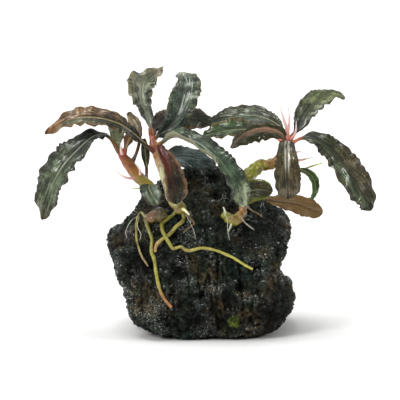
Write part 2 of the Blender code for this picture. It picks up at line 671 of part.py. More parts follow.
def blade_width(widths, part):
    """Half width at `part` of the blade, from five widths and a narrow foot and tip."""
    values = (PETIOLE_RADIUS, *widths, TIP_HALF_WIDTH)
    for index in range(len(WIDTH_STEPS) - 1):
        if part <= WIDTH_STEPS[index + 1]:
            break
    span = (part - WIDTH_STEPS[index]) / (WIDTH_STEPS[index + 1] - WIDTH_STEPS[index])
    before = values[max(index - 1, 0)]
    after = values[min(index + 2, len(values) - 1)]
    return max(between(before, values[index], values[index + 1], after, span), TIP_HALF_WIDTH)


def leaf_point(leaf, frame, place, part, across, above):
    """A point of the skin. `across` is -1 at the left margin and 1 at the right one."""
    side, upper = frame
    half = 1 if across > 0 else 0
    blade = (part - leaf.petiole) / (1 - leaf.petiole)
    opened = ease(blade / OPENING)
    widths = leaf.right if half else leaf.left
    width = blade_width(widths, blade) if blade > 0 else PETIOLE_RADIUS
    fold = math.radians(along(leaf.fold[half], blade)) * opened
    curl = math.radians(along(leaf.curl[half], blade)) * opened
    reach = abs(across)
    turned = fold + curl * reach
    if abs(curl) < 1e-3:
        outward = width * reach * math.cos(fold)
        upward = width * reach * math.sin(fold)
    else:
        outward = width * (math.sin(turned) - math.sin(fold)) / curl
        upward = width * (math.cos(fold) - math.cos(turned)) / curl
    sign = 1 if half else -1
    square = upper * math.cos(turned) - side * sign * math.sin(turned)
    blade_thick = BLADE_HALF_THICKNESS * (1 - 0.5 * max(blade, 0))
    thick = PETIOLE_RADIUS * (1 - opened) + blade_thick * opened
    wave = leaf.ruffle * math.sin(2 * math.pi * (leaf.waves * blade + 0.25 * half))
    lift = above * thick * math.sqrt(max(1 - reach * reach, 0.0)) + wave * opened * reach ** 2
    return place + side * sign * outward + upper * upward + square * lift


def leaf_rings(leaf, points):
    rings = []
    for number, (place, frame) in enumerate(zip(points, leaf_frames(points, leaf.face))):
        part = number / (len(points) - 1)
        rings.append([leaf_point(leaf, frame, place, part, *spot) for spot in LEAF_SECTION])
    return rings


def make_leaf(leaf, lines, finishes):
    line, radii = lines[leaf.stem]
    points = [Vector(point) for point in leaf.points]
    points[0] = foot_on(line, radii, points[0], points[1], PETIOLE_RADIUS)
    midrib = clear_of_stem(smooth(points, leaf.rings), line, radii, PETIOLE_RADIUS)
    add_object(leaf.name, lofted(leaf.name, leaf_rings(leaf, midrib)), finishes[leaf.color])


def add_tube(name, centre, radii, sides, finish):
    add_object(name, lofted(name, tube_rings(centre, radii, sides)), finish)


def taper(start, end, count):
    return [start + (end - start) * number / (count - 1) for number in range(count)]


def make_sheath(sheath, lines, finish):
    line, stem_radii = lines[sheath.stem]
    points = [Vector(point) for point in sheath.points]
    points[0] = foot_on(line, stem_radii, points[0], points[1], sheath.radius)
    centre = clear_of_stem(smooth(points, SHEATH_RINGS), line, stem_radii, sheath.radius)
    radii = taper(sheath.radius, SHEATH_TIP, SHEATH_RINGS)
    add_tube(sheath.name, centre, radii, SHEATH_SIDES, finish)


def make_free_root(root, lines, surface, finish):
    line, stem_radii = lines[root.stem]
    points = [Vector(point) for point in root.points]
    points[0] = foot_on(line, stem_radii, points[0], points[1], root.radius)
    centre = clear_of_stem(smooth(points, FREE_ROOT_RINGS), line, stem_radii, root.radius)
    centre = [keep_off(surface, point, root.radius + GAP) for point in centre]
    radii = taper(root.radius, root.tip, FREE_ROOT_RINGS)
    add_tube(root.name, centre, radii, SHEATH_SIDES, finish)


def make_root(root, surface, finish):
    """A root that creeps down the stone's front face. One of them climbs over another on its way."""
    points = smooth([(x, IN_FRONT, z) for x, z in root.places], root.rings)
    radii = taper(root.radius, root.tip, root.rings)
    crossing = Vector((ROOT_CROSSING_PLACE[0], 0.0, ROOT_CROSSING_PLACE[1]))
    centre = []
    for point, radius in zip(points, radii):
        hit = surface.ray_cast(point * MM, TOWARDS_STONE)[0] / MM
        near = (Vector((point.x, 0.0, point.z)) - crossing).length / ROOT_CROSSING_REACH
        hump = root.lift * ROOT_CROSSING_HEIGHT * ease(ROOT_CROSSING_EASE - near)
        centre.append(rest_on(surface, hit - TOWARDS_STONE, radius + GAP + hump))
    clear_between(surface, centre, radii)
    add_tube(root.name, centre, radii, ROOT_SIDES, finish)


def main():
    for old in list(bpy.data.objects):
        bpy.data.objects.remove(old, do_unlink=True)
    surface = stone_surface(make_stone())
    stem_finish = material("stem_olive", (0.34, 0.26, 0.05), 0.35)
    root_finish = material("root_yellow", (0.42, 0.40, 0.08), 0.4)
    sheath_finish = material("sheath_pink", (0.72, 0.36, 0.36), 0.4)
    names = ("grey_green", "teal", "olive_brown", "maroon", "dark", "young_green")
    colors = (GREEN_GREY, TEAL, OLIVE_BROWN, MAROON, DARK, YOUNG_GREEN)
    finishes = {color: material("leaf_" + name, color, 0.3) for name, color in zip(names, colors)}
    lines = {}
    for stem in STEMS:
        count = 4 + 2 * len(stem.points)
        line = stem_line(stem, surface, count)
        radii = rounded_radii(line, stem.radii)
        lines[stem.name] = (line, radii)
        add_tube(stem.name, line, radii, STEM_SIDES, stem_finish)
    for leaf in LEAVES:
        make_leaf(leaf, lines, finishes)
    for sheath in SHEATHS:
        make_sheath(sheath, lines, sheath_finish)
    for root in ROOTS:
        make_root(root, surface, root_finish)
    for root in FREE_ROOTS:
        make_free_root(root, lines, surface, root_finish)


main()
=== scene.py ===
import math
from collections import namedtuple

import bmesh
import bpy
import numpy as np
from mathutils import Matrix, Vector, noise
from mathutils.bvhtree import BVHTree


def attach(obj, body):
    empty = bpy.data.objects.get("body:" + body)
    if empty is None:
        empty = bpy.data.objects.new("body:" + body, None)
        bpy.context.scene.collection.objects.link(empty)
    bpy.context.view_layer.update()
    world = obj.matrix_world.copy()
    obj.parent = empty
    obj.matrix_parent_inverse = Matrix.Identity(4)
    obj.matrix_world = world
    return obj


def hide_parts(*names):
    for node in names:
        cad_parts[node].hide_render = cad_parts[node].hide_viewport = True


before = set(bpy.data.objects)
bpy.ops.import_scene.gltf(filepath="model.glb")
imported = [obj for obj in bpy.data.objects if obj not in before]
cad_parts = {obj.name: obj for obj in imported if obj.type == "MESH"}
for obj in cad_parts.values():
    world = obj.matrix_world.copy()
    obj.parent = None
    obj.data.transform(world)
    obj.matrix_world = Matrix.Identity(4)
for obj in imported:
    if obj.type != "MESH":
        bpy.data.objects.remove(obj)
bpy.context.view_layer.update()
MM = 0.001
print("solids in the frame:", len(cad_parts))

# %% [markdown]
# ## Camera
# The picture is taken from the front, a little above, with a long lens, so that the plant looks
# calm and undistorted. A camera could be parented to an empty and turned. Here its place is worked
# out from an angle, a distance and the height it looks at, because those three numbers say
# what a photographer would say.
# %% The camera
CAMERA_ELEVATION = math.radians(8.0)
CAMERA_DISTANCE = 0.42
CAMERA_HEIGHT = 0.0291
SENSOR_WIDTH = 36.0
IMAGE_WIDTH = 400
MM_PER_PIXEL = 0.22


def add_camera():
    lens = bpy.data.cameras.new("long_lens")
    lens.sensor_width = SENSOR_WIDTH
    lens.lens = SENSOR_WIDTH * CAMERA_DISTANCE / (MM_PER_PIXEL * MM) / IMAGE_WIDTH
    camera = bpy.data.objects.new("camera", lens)
    back = Vector((0.0, -math.cos(CAMERA_ELEVATION), math.sin(CAMERA_ELEVATION)))
    camera.location = Vector((0.0, 0.0, CAMERA_HEIGHT)) + CAMERA_DISTANCE * back
    camera.rotation_euler = (math.pi / 2 - CAMERA_ELEVATION, 0.0, 0.0)
    bpy.context.scene.collection.objects.link(camera)
    bpy.context.scene.camera = camera
    return camera


print("lens in mm:", round(add_camera().data.lens, 1))

# %% [markdown]
# ## Writing a material as sums
# A material is a graph of nodes, and a long graph is hard to read when each node and link takes a
# line of its own. So one small class, `Wire`, stands for an output socket, and its operators add
# the Math nodes: `1 - mask * 0.5` reads as it would on paper. Colours are not put through Math
# nodes, which would turn them grey; they are blended with `mix`. Numbers alone stay in Python.
# %% Wires and finishes


class Wire:
    """One output socket. A sum of wires adds Math nodes to the same material."""

    def __init__(self, finish, node, output=0):
        self.finish = finish
        self.node = node
        self.socket = node.outputs[output]

    def out(self, output):
        return Wire(self.finish, self.node, output)

    def math(self, operation, *values):
        return self.finish.node("Math", {"operation": operation}, *values)

    def __add__(self, other):
        return self.math("ADD", self, other)

    def __sub__(self, other):
        return self.math("SUBTRACT", self, other)

    def __rsub__(self, other):
        return self.math("SUBTRACT", other, self)

    def __mul__(self, other):
        return self.math("MULTIPLY", self, other)

    def __truediv__(self, other):
        return self.math("DIVIDE", self, other)

    def __abs__(self):
        return self.math("ABSOLUTE", self)

    __radd__ = __add__
    __rmul__ = __mul__

    def fraction(self):
        return self.math("FRACT", self)

    def step(self, low, high):
        """0 below `low` and 1 above `high`, with soft ends; the other way round if low > high."""
        if low > high:
            return 1 - self.step(high, low)
        return self.finish.node("MapRange", {"interpolation_type": "SMOOTHSTEP"}, self, low, high)


class Finish:
    """The graph of a material, or of the world, in front of its one shader."""

    def __init__(self, name, world=None):
        self.owner = world or bpy.data.materials.new(name)
        self.owner.use_nodes = True
        self.tree = self.owner.node_tree
        self.shader = self.tree.nodes["Background" if world else "Principled BSDF"]

    def node(self, kind, settings=None, *inputs, **named):
        """Adds a node: its settings first, then the values or wires of its sockets."""
        made = self.tree.nodes.new("ShaderNode" + kind)
        for setting, value in (settings or {}).items():
            setattr(made, setting, value)
        for key, value in [*enumerate(inputs), *named.items()]:
            self.plug(made.inputs[key], value)
        return Wire(self, made)

    def plug(self, socket, value):
        if isinstance(value, Wire):
            self.tree.links.new(value.socket, socket)
        else:
            socket.default_value = value

    def mix(self, mask, color, other):
        """`color` where the mask is 0 and `other` where it is 1."""
        made = self.tree.nodes.new("ShaderNodeMix")
        made.data_type = "RGBA"
        for index, value in ((0, mask), (6, color), (7, other)):
            self.plug(made.inputs[index], value)
        return Wire(self, made, 2)

    def shade(self, color, amount):
        """`color` made darker or lighter by a factor."""
        made = self.tree.nodes.new("ShaderNodeVectorMath")
        made.operation = "SCALE"
        self.plug(made.inputs[0], color if isinstance(color, Wire) else color[:3])
        self.plug(made.inputs["Scale"], amount)
        return Wire(self, made)

    def attribute(self, name):
        stored = self.node("Attribute", {"attribute_name": name}).out("Vector")
        split = self.node("SeparateXYZ", None, stored)
        return split.out("X"), split.out("Y"), split.out("Z")

    def place(self, stretch=(1.0, 1.0, 1.0)):
        """The point of the surface in millimetres."""
        scale = tuple(value / MM for value in stretch)
        where = self.node("TexCoord").out("Object")
        return self.node("VectorMath", {"operation": "MULTIPLY"}, where, scale)

    def noise(self, where, pace, detail=2.0, roughness=0.5):
        """Soft random values from 0 to 1; `pace` is how many swings there are to a millimetre."""
        return self.node(
            "TexNoise", None, Vector=where, Scale=pace, Detail=detail, Roughness=roughness,
        )

    def point(self, x, y, z=0.0):
        return self.node("CombineXYZ", None, x, y, z)

    def bump(self, height, depth, below=None):
        """A normal from a height; `depth` is the height's size in millimetres."""
        made = self.node("Bump", None, Height=height, Strength=1.0, Distance=depth * MM)
        if below is not None:
            self.plug(made.node.inputs["Normal"], below)
        return made

    def surface(self, **sockets):
        for name, value in sockets.items():
            self.plug(self.shader.inputs[name.replace("_", " ")], value)
        return self.owner


def tone(red, green, blue):
    """A colour as a screen shows it, 0 to 255, turned into the linear values a shader takes."""
    return tuple((value / 255) ** 2.2 for value in (red, green, blue)) + (1.0,)


# %% [markdown]
# ## Floor and light
# The plant stands on a plain pale floor in a soft, almost shadowless light. Lamps near by would
# leave the far floor grey, so the lamps are suns, which light all of it alike, and each is as wide
# in the sky as a soft box is. The room is bright behind the plant and dim in front of it. That is
# how dark glossy things are lit: their faces stay deep and only their edges and crests shine.
# %% Floor, world and lamps
FLOOR_RADIUS = 9.0
FLOOR_SIDES = 96
ROOM_DIM = 0.16
ROOM_BRIGHT = 0.95
LAMPS = (
    ("top_box", (-0.25, -0.10, 1.0), 34, 1.9),
    ("front_left_box", (-0.8, -0.75, 0.75), 20, 1.5),
    ("right_box", (0.9, -0.2, 0.5), 14, 0.6),
)


def add_floor():
    mesh = bpy.data.meshes.new("floor")
    shape = bmesh.new()
    bmesh.ops.create_circle(shape, cap_ends=True, radius=FLOOR_RADIUS, segments=FLOOR_SIDES)
    shape.to_mesh(mesh)
    shape.free()
    floor = bpy.data.objects.new("floor", mesh)
    bpy.context.scene.collection.objects.link(floor)
    paper = Finish("pale_paper")
    fibre = paper.noise(paper.place(), 0.8, 3.0)
    color = paper.mix(fibre, tone(238, 238, 236), tone(246, 246, 245))
    dull = paper.surface(Base_Color=color, Roughness=0.8, Specular_IOR_Level=0.2)
    floor.data.materials.append(dull)
    return floor


def add_lamp(name, side, width, strength):
    """A sun that shines from `side`, `width` degrees wide in the sky."""
    light = bpy.data.lights.new(name, "SUN")
    light.angle = math.radians(width)
    light.energy = strength
    lamp = bpy.data.objects.new(name, light)
    lamp.location = Vector(side).normalized()
    lamp.rotation_euler = (-lamp.location).to_track_quat("-Z", "Y").to_euler()
    bpy.context.scene.collection.objects.link(lamp)
    return lamp


def add_world():
    world = bpy.data.worlds.new("bright_behind")
    room = Finish("room", world)
    split = room.node("SeparateXYZ", None, room.node("TexCoord").out("Generated"))
    glow = (split.out("Y") + 0.25 * split.out("Z")).step(-0.35, 0.75)
    room.surface(Color=(1.0, 1.0, 1.0, 1.0), Strength=ROOM_DIM + (ROOM_BRIGHT - ROOM_DIM) * glow)
    bpy.context.scene.world = world
    bpy.context.scene.view_settings.view_transform = "Standard"


add_world()
add_floor()
print("lamps:", [add_lamp(*lamp).name for lamp in LAMPS])

# %% [markdown]
# ## Lines and tubes
# Stems, roots and midribs all follow smooth lines through a few points. A curve object could draw
# them, but a leaf needs to know, at every point of its midrib, which way is up and how far along
# it is. So the lines are worked out here with a Catmull-Rom curve, which passes through each
# point of its table, and the skins are built on them as rings of points.
# %% Smooth lines
CURVE_STEPS = 16
BUMP_PACE = 0.9
TUBE_SIDE = np.array((0.0, -1.0, 0.2))


def ease(part):
    """0 to 1 with soft ends."""
    part = np.clip(part, 0.0, 1.0)
    return part * part * (3 - 2 * part)


def between(before, start, end, after, part):
    """Points of the Catmull-Rom curve that runs from `start` to `end`."""
    square = part * part
    bend = 2 * before - 5 * start + 4 * end - after
    turn = 3 * start - before - 3 * end + after
    return 0.5 * (2 * start + (end - before) * part + bend * square + turn * square * part)


def smooth(points, count):
    """`count` points at even distances along a smooth curve through `points`."""
    points = np.array(points, float)
    ends = np.vstack([2 * points[0] - points[1], points, 2 * points[-1] - points[-2]])
    part = np.arange(CURVE_STEPS)[:, None] / CURVE_STEPS
    spans = [between(*ends[index:index + 4], part) for index in range(len(points) - 1)]
    fine = np.vstack([*spans, points[-1:]])
    lengths = np.concatenate([[0.0], np.cumsum(np.linalg.norm(np.diff(fine, axis=0), axis=1))])
    wanted = np.linspace(0.0, lengths[-1], count)
    return np.stack([np.interp(wanted, lengths, fine[:, axis]) for axis in range(3)], axis=1)


def unit(vectors):
    return vectors / np.linalg.norm(vectors, axis=-1, keepdims=True)


def length_of(points):
    return np.linalg.norm(np.diff(np.array(points, float), axis=0), axis=1).sum()


def directions(points):
    return unit(np.gradient(points, axis=0))


def rounded(room, least):
    """A share that closes an end in a quarter circle; `room` is how many radii off the end is."""
    return np.maximum(np.sqrt(1 - np.clip(1 - room, 0.0, 1.0) ** 2), least)


def along(values, part):
    """The value at `part`, 0 to 1, of a smooth run through evenly spaced `values`."""
    values = np.array(values, float)
    place = np.clip(part, 0.0, 1.0) * (len(values) - 1)
    index = np.minimum(place.astype(int), len(values) - 2)
    share = ease(place - index).reshape(-1, *[1] * (values.ndim - 1))
    return values[index] * (1 - share) + values[index + 1] * share


def wander(row, values):
    """Smooth random values from about -1 to 1, one for each of `values`; each `row` differs."""
    return np.array([2.0 * noise.noise(Vector((value, 7.31 * row, 1.7))) for value in values])


def ring_mesh(name, rings, attributes):
    """A closed mesh through rings of points in millimetres, with vector attributes per point."""
    rows, sides = rings.shape[:2]
    start = np.arange(rows * sides).reshape(rows, sides)
    after = np.roll(start, -1, axis=1)
    quads = np.stack([start[:-1], after[:-1], after[1:], start[1:]], axis=-1).reshape(-1, 4)
    faces = [*quads.tolist(), start[0][::-1].tolist(), start[-1].tolist()]
    mesh = bpy.data.meshes.new(name)
    mesh.from_pydata((rings.reshape(-1, 3) * MM).tolist(), [], faces)
    for title, values in attributes.items():
        layer = mesh.attributes.new(title, "FLOAT_VECTOR", "POINT")
        layer.data.foreach_set("vector", np.array(values, np.float32).reshape(-1))
    mesh.shade_smooth()
    return mesh


def add_piece(name, mesh, material, slot, *nodes):
    """Links a piece, lets it ride with the frame and stand for the solids in `nodes`."""
    mesh.materials.append(material)
    piece = bpy.data.objects.new(name, mesh)
    bpy.context.scene.collection.objects.link(piece)
    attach(piece, "root")
    if nodes:
        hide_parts(*nodes)
    return piece


def tube_rings(points, radii, sides, bumps=0.0, row=0):
    """Round rings square to a line. `bumps` makes them knobbly, as a share of the radius."""
    heading = directions(points)
    side = TUBE_SIDE
    angles = np.linspace(0.0, 2 * math.pi, sides, endpoint=False)
    rings = []
    for point, way, radius in zip(points, heading, radii):
        side = unit(side - way * side.dot(way))
        other = np.cross(way, side)
        ring = np.cos(angles)[:, None] * side + np.sin(angles)[:, None] * other
        if bumps:
            spots = [Vector(point + spoke * radius) * BUMP_PACE for spoke in ring]
            lumps = np.array([noise.noise(spot + Vector((0, 0, row))) for spot in spots])
            radius = radius * (1 + bumps * lumps)[:, None]
        rings.append(point + ring * radius)
    return np.array(rings)


def tube_place(points, sides):
    """For each point of a tube: how far along it is, 0 to 1, its millimetres, and its turn."""
    part = np.linspace(0.0, 1.0, len(points))
    far = part * length_of(points)
    turn = np.linspace(0.0, 1.0, sides, endpoint=False)
    grid = np.meshgrid(part, turn, indexing="ij")
    return np.stack([grid[0], np.repeat(far[:, None], sides, axis=1), grid[1]], axis=-1)


hill = smooth([(0, 0, 0), (1, 1, 0), (2, 0, 0)], 20)
print("a line through three points is", round(length_of(hill), 2))

# %% [markdown]
# ## The stone
# The stone is a lump of lava: a blunt block, flat under its foot, with lumps and hollows that gas
# bubbles left. It could be sculpted with brushes. Here it is a sphere of small squares pushed out
# to the block's outline, with a few sizes of soft noise along its normals. The first three sizes
# and the wide pits are those of the solid; the finer ones are only for the eye.
# %% The stone's form
STONE_CENTRE = np.array((0.0, 2.0, 17.0))
STONE_HALF_DEPTH = 15.5
STONE_OUTLINE = (
    (17.3, 15.5), (19.5, 21.2), (17.7, 25.7), (14.0, 28.8), (9.0, 33.5), (3.0, 35.5), (-4.5, 35.0),
    (-9.5, 31.6), (-13.4, 27.6), (-17.6, 22.8), (-20.3, 19.6), (-18.5, 14.5), (-15.5, 8.0),
    (-13.0, 1.5), (-6.0, -2.0), (3.0, -2.2), (11.0, -1.6), (17.0, 0.5), (20.0, 4.0), (20.2, 8.5),
    (18.2, 11.5),
)
STONE_SQUARENESS = 0.5
STONE_FRONT_HEIGHT = 0.60
STONE_TOP_BACK = 8.0
STONE_CUTS = 122
STONE_LUMPS = ((0.085, 1.3), (0.21, 0.9), (0.45, 0.35))
STONE_CRAGS = ((0.7, 0.5), (1.5, 0.42), (2.7, 0.26))
CRAG_MIDDLE = 0.55
GROOVE_DEPTH = 0.7
GROOVE_WIDTH = 0.09
GROOVE_PACE = (0.42, 0.42, 0.05)
GROOVE_START = (0.0, 0.0, 3.7)
GROOVE_TOP = 24
GROOVE_FADE = 6
PITS = ((5.2, 1.5, 0.42), (2.1, 0.55, 0.40), (1.15, 0.28, 0.38))
PIT_SHIFT = 9.1
FOOT_SOFTNESS = 0.5


def outline_reach(angles):
    """How far the stone's outline is from its middle at these angles of the front view."""
    offsets = np.array(STONE_OUTLINE) - STONE_CENTRE[[0, 2]]
    bearings = np.arctan2(offsets[:, 1], offsets[:, 0])
    radii = np.hypot(offsets[:, 0], offsets[:, 1])
    order = np.argsort(bearings)
    bearings = bearings[order]
    radii = radii[order]
    count = len(radii)
    index = (np.searchsorted(bearings, angles, side="right") - 1) % count
    following = (index + 1) % count
    width = (bearings[following] - bearings[index]) % (2 * math.pi)
    part = ((angles - bearings[index]) % (2 * math.pi)) / width
    after = radii[(index + 2) % count]
    return between(radii[index - 1], radii[index], radii[following], after, part)


def block_points(ways):
    """The blunt block without its lumps, from directions out of its middle."""
    across = np.hypot(ways[:, 0], ways[:, 2])
    power = 2 / STONE_SQUARENESS
    scale = (across ** power + np.abs(ways[:, 1]) ** power) ** (-1 / power)
    angles = np.arctan2(ways[:, 2], ways[:, 0])
    reach = outline_reach(angles) * across * scale
    depth = ways[:, 1] * scale * STONE_HALF_DEPTH
    offsets = [reach * np.cos(angles), depth, reach * np.sin(angles)]
    points = STONE_CENTRE + np.stack(offsets, axis=1)
    front = STONE_CENTRE[1] - STONE_HALF_DEPTH
    climb = ease((points[:, 1] - front) / (STONE_TOP_BACK - front))
    height = STONE_FRONT_HEIGHT + (1 - STONE_FRONT_HEIGHT) * climb
    above = points[:, 2] > STONE_CENTRE[2]
    points[above, 2] = STONE_CENTRE[2] + (points[above, 2] - STONE_CENTRE[2]) * height[above]
    return points


def pit_depth(point, spacing, depth, width):
    distance = noise.voronoi(point / spacing, distance_metric="DISTANCE")[0][0]
    part = min(max(1 - distance / width, 0.0), 1.0)
    return depth * part * part * (3 - 2 * part)


def stone_relief(point, steep):
    """How far the surface stands out at a point of the block, and how deep its hollows are."""
    lift = sum(size * noise.noise(point * pace) for pace, size in STONE_LUMPS)
    for pace, size in STONE_CRAGS:
        lift += size * (CRAG_MIDDLE - 2 * abs(noise.noise(point * pace)))
    shifts = [Vector((0, 0, PIT_SHIFT * row)) for row in range(len(PITS))]
    sunk = sum(pit_depth(point + shift, *pit) for shift, pit in zip(shifts, PITS))
    run = [value * pace + start for value, pace, start in zip(point, GROOVE_PACE, GROOVE_START)]
    run = noise.noise(Vector(run))
    low = max(0.0, min(1.0, (GROOVE_TOP - point.z) / GROOVE_FADE))
    groove = max(0.0, 1 - abs(run) / GROOVE_WIDTH) * steep * low
    return lift, sunk + GROOVE_DEPTH * groove


def sphere_of_squares(cuts):
    """A bmesh sphere whose faces are nearly equal squares."""
    shape = bmesh.new()
    bmesh.ops.create_cube(shape, size=2.0)
    bmesh.ops.subdivide_edges(shape, edges=shape.edges, cuts=cuts, use_grid_fill=True)
    for vert in shape.verts:
        vert.co = Vector([math.tan(value * math.pi / 4) for value in vert.co]).normalized()
    return shape


def make_stone_mesh():
    shape = sphere_of_squares(STONE_CUTS)
    for vert, point in zip(shape.verts, block_points(np.array([vert.co for vert in shape.verts]))):
        vert.co = point
    shape.normal_update()
    hollows = []
    for vert in shape.verts:
        lift, sunk = stone_relief(vert.co, 1 - vert.normal.z ** 2)
        vert.co = vert.co + vert.normal * (lift - sunk)
        hollows.append((sunk, lift, 0.0))
    for vert in shape.verts:
        vert.co.z = FOOT_SOFTNESS * math.log1p(math.exp(vert.co.z / FOOT_SOFTNESS))
        vert.co *= MM
    mesh = bpy.data.meshes.new("lava_stone")
    shape.to_mesh(mesh)
    shape.free()
    layer = mesh.attributes.new("stone_relief", "FLOAT_VECTOR", "POINT")
    layer.data.foreach_set("vector", np.array(hollows, np.float32).reshape(-1))
    mesh.shade_smooth()
    return mesh


stone_mesh = make_stone_mesh()
print("squares on the stone:", len(stone_mesh.polygons))

# %% [markdown]
# ## Wet black lava
# Wet lava is near black, with brown and blue-green films in it and pin-sharp glints where water
# lies on its grains. An image could not be turned round the stone without seams, so the finish is
# made of solid noise. The glints come in wet patches: a fine bump under a thin coat gives some,
# and pale sparks and specks painted into the colour give the rest, where the lamps don't reach:
# painted glints. The colour is also darkened in hollows, pits and grooves: painted shade.
# %% The stone's finish
ALGA_PLACE = (7.3, -12.6, 4.4)


def stone_finish():
    lava = Finish("wet_black_lava")
    where = lava.place()
    sunk, lift, _ = lava.attribute("stone_relief")
    height = lava.node("SeparateXYZ", None, where).out("Z")
    film = lava.noise(where, 0.11, 3.0, 0.6)
    upright = lava.noise(lava.place((1.0, 1.0, 0.15)), 1.1, 3.0, 0.6)
    fine = lava.noise(where, 1.5, 5.0, 0.7)
    grains = lava.noise(where, 2.4, 3.0, 0.7)
    wet = lava.noise(where, 0.27, 3.0, 0.6).step(0.47, 0.6)
    # How open a point is: low in pits, grooves and hollows. It darkens the colour below as painted
    # shade.
    open_to_light = lift.step(-0.7, 0.35) * sunk.step(0.7, 0.05)
    color = lava.mix((fine * 0.6 + upright * 0.4).step(0.4, 0.66), tone(6, 9, 8), tone(60, 71, 54))
    color = lava.mix(film.step(0.52, 0.62) * fine.step(0.36, 0.6) * 0.85, color, tone(88, 72, 48))
    color = lava.mix(film.step(0.47, 0.36) * grains.step(0.45, 0.6) * 0.7, color, tone(14, 38, 42))
    color = lava.mix(height.step(23.0, 33.0) * fine.step(0.42, 0.62) * 0.7, color, tone(32, 40, 24))
    near = lava.node("VectorMath", {"operation": "DISTANCE"}, where, ALGA_PLACE).out("Value")
    color = lava.mix(near.step(1.9, 0.9) * fine.step(0.36, 0.5) * 0.85, color, tone(96, 112, 44))
    grainy = 0.46 + 2.4 * grains.step(0.32, 0.78)
    # Darker in hollows, pits and grooves: painted shade from the relief.
    color = lava.shade(color, (0.18 + 0.82 * open_to_light) * grainy)
    # Pale sparks in the wet patches, kept out of the pits: painted glints.
    spark = lava.noise(where, 3.1, 2.0, 0.6).step(0.58, 0.66) * (0.08 + 0.92 * wet)
    spark = spark * sunk.step(0.6, 0.1)
    color = lava.mix(spark * 0.65, color, tone(124, 138, 130))
    # Sparse near-white specks, a little metallic: painted glints where no lamp makes one.
    cell = lava.node("TexVoronoi", None, Vector=where, Scale=3.0)
    chance = lava.node("SeparateXYZ", None, cell.out("Color")).out("X")
    glint = (chance + 0.3 * wet).step(0.96, 1.04) * cell.step(0.46, 0.34) * lift.step(-0.5, 0.1)
    pale = lava.mix(fine.step(0.4, 0.6), tone(158, 172, 168), tone(240, 243, 238))
    color = lava.mix(glint, color, pale)
    rough = 0.46 - 0.24 * wet + 0.12 * (grains - 0.5) - 0.1 * glint
    normal = lava.bump(fine, 0.7, lava.bump(grains, 0.45))
    return lava.surface(
        Base_Color=color, Roughness=rough, Normal=normal, Metallic=glint * 0.7,
        Coat_Weight=wet * 0.3, Coat_Roughness=0.1, Specular_IOR_Level=0.18,
    )


solid_stone = BVHTree.FromObject(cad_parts["stone"], bpy.context.evaluated_depsgraph_get())
stone = add_piece("lava_stone", stone_mesh, stone_finish(), "stone", "stone")
fine_stone = BVHTree.FromObject(stone, bpy.context.evaluated_depsgraph_get())
print("nodes in the stone's finish:", len(stone.data.materials[0].node_tree.nodes))

# %% [markdown]
# ## Stems
# The stems are fleshy and creep over the stone. Each is ringed by the scars of fallen leaves. A
# curve with a bevel would give a smooth pipe, so the rings are built here, and a low ridge is
# added at every scar. Their lines are laid on the solid stone, as the solids' own are, and the
# petioles below will start inside them, so that leaf and stem look grown as one.
# %% The stems' lines
Stem = namedtuple("Stem", "name points radii resting bumps tones")
STEMS = (
    Stem(
        "stem_left",
        ((-3.5, -12, 28), (-6, -10, 31), (-7.5, -8.5, 35), (-9, -7, 39), (-10, -6, 42),
         (-10.5, -5.2, 44.5)),
        (1.45, 1.25, 0.95, 0.9, 0.95, 0.6),
        1, 0.15,
        ((128, 112, 42), (184, 172, 108), (208, 202, 160), (172, 120, 74), (178, 88, 72)),
    ),
    Stem(
        "stem_left_side_shoot",
        ((-8.6, -9.5, 31.7), (-11, -8, 33.4), (-13.2, -7.5, 35), (-15.5, -7, 38),
         (-17.7, -6.5, 41)),
        (0.7, 1.1, 1.3, 1.15, 0.6),
        0, 0.12,
        ((132, 116, 40), (142, 126, 44), (150, 92, 42), (150, 66, 50)),
    ),
    Stem(
        "stem_left_stub",
        ((-13.8, -10, 27.5), (-12, -11.5, 28), (-9.5, -12.5, 28.3), (-7.2, -12.5, 28.2)),
        (0.55, 1.0, 1.1, 0.75),
        4, 0.9,
        ((70, 58, 28), (112, 80, 36), (84, 70, 32), (80, 80, 32)),
    ),
    Stem(
        "stem_right",
        ((5.3, -12, 28.7), (7.7, -12.5, 28.4), (9.5, -10.5, 29.2), (9.3, -5.5, 31.7),
         (10.8, -3.6, 35.3), (13.5, -3.5, 37.2), (16.5, -4, 38), (18.3, -5, 40.3),
         (19.2, -6, 43.2)),
        (0.8, 1.1, 0.9, 0.85, 1.75, 1.35, 1.05, 0.95, 0.6),
        3, 0.45,
        ((132, 136, 48), (142, 100, 40), (112, 116, 34), (146, 148, 44), (150, 104, 42),
         (156, 70, 52)),
    ),
)
STEM_GAP = 0.3
STEM_SIDES = 40
STEM_STEP = 0.16
STEM_END = 0.06
SCAR_SPACING = 2.6
SCAR_HEIGHT = 0.07
SCAR_WANDER = 0.3
SCAR_PACE = 0.7
SCAR_SPREAD = 0.004
REST_STEPS = 4


def rest_on(surface, point, clearance):
    """Moves a point, in millimetres, square to the stone until it is `clearance` away from it."""
    for _ in range(REST_STEPS):
        place, normal, _, _ = surface.find_nearest(point * MM)
        away = point * MM - place
        if away.dot(normal) < 0:
            away = normal
        point = (place + away.normalized() * clearance * MM) / MM
    return point


def stem_line(stem):
    points = [Vector(point) for point in stem.points]
    for index in range(stem.resting):
        radius = float(along(stem.radii, np.array([index / (len(points) - 1)]))[0])
        points[index] = rest_on(solid_stone, points[index], radius + STEM_GAP)
    count = round(length_of(points) / STEM_STEP)
    return smooth(points, count)


def stem_radii(stem, line):
    part = np.linspace(0.0, 1.0, len(line))
    far = part * length_of(line)
    radii = along(stem.radii, part)
    for room in (far / stem.radii[0], (far[-1] - far) / stem.radii[-1]):
        radii = radii * rounded(room, STEM_END)
    place = (far / SCAR_SPACING + SCAR_WANDER * wander(3, far * SCAR_PACE)) % 1.0 - 0.5
    scars = np.exp(-place ** 2 / SCAR_SPREAD)
    return radii + SCAR_HEIGHT * scars * (radii > 0.5)


stem_lines = {stem.name: stem_line(stem) for stem in STEMS}
print("stem lengths in mm:", {name: round(length_of(line), 1) for name, line in stem_lines.items()})

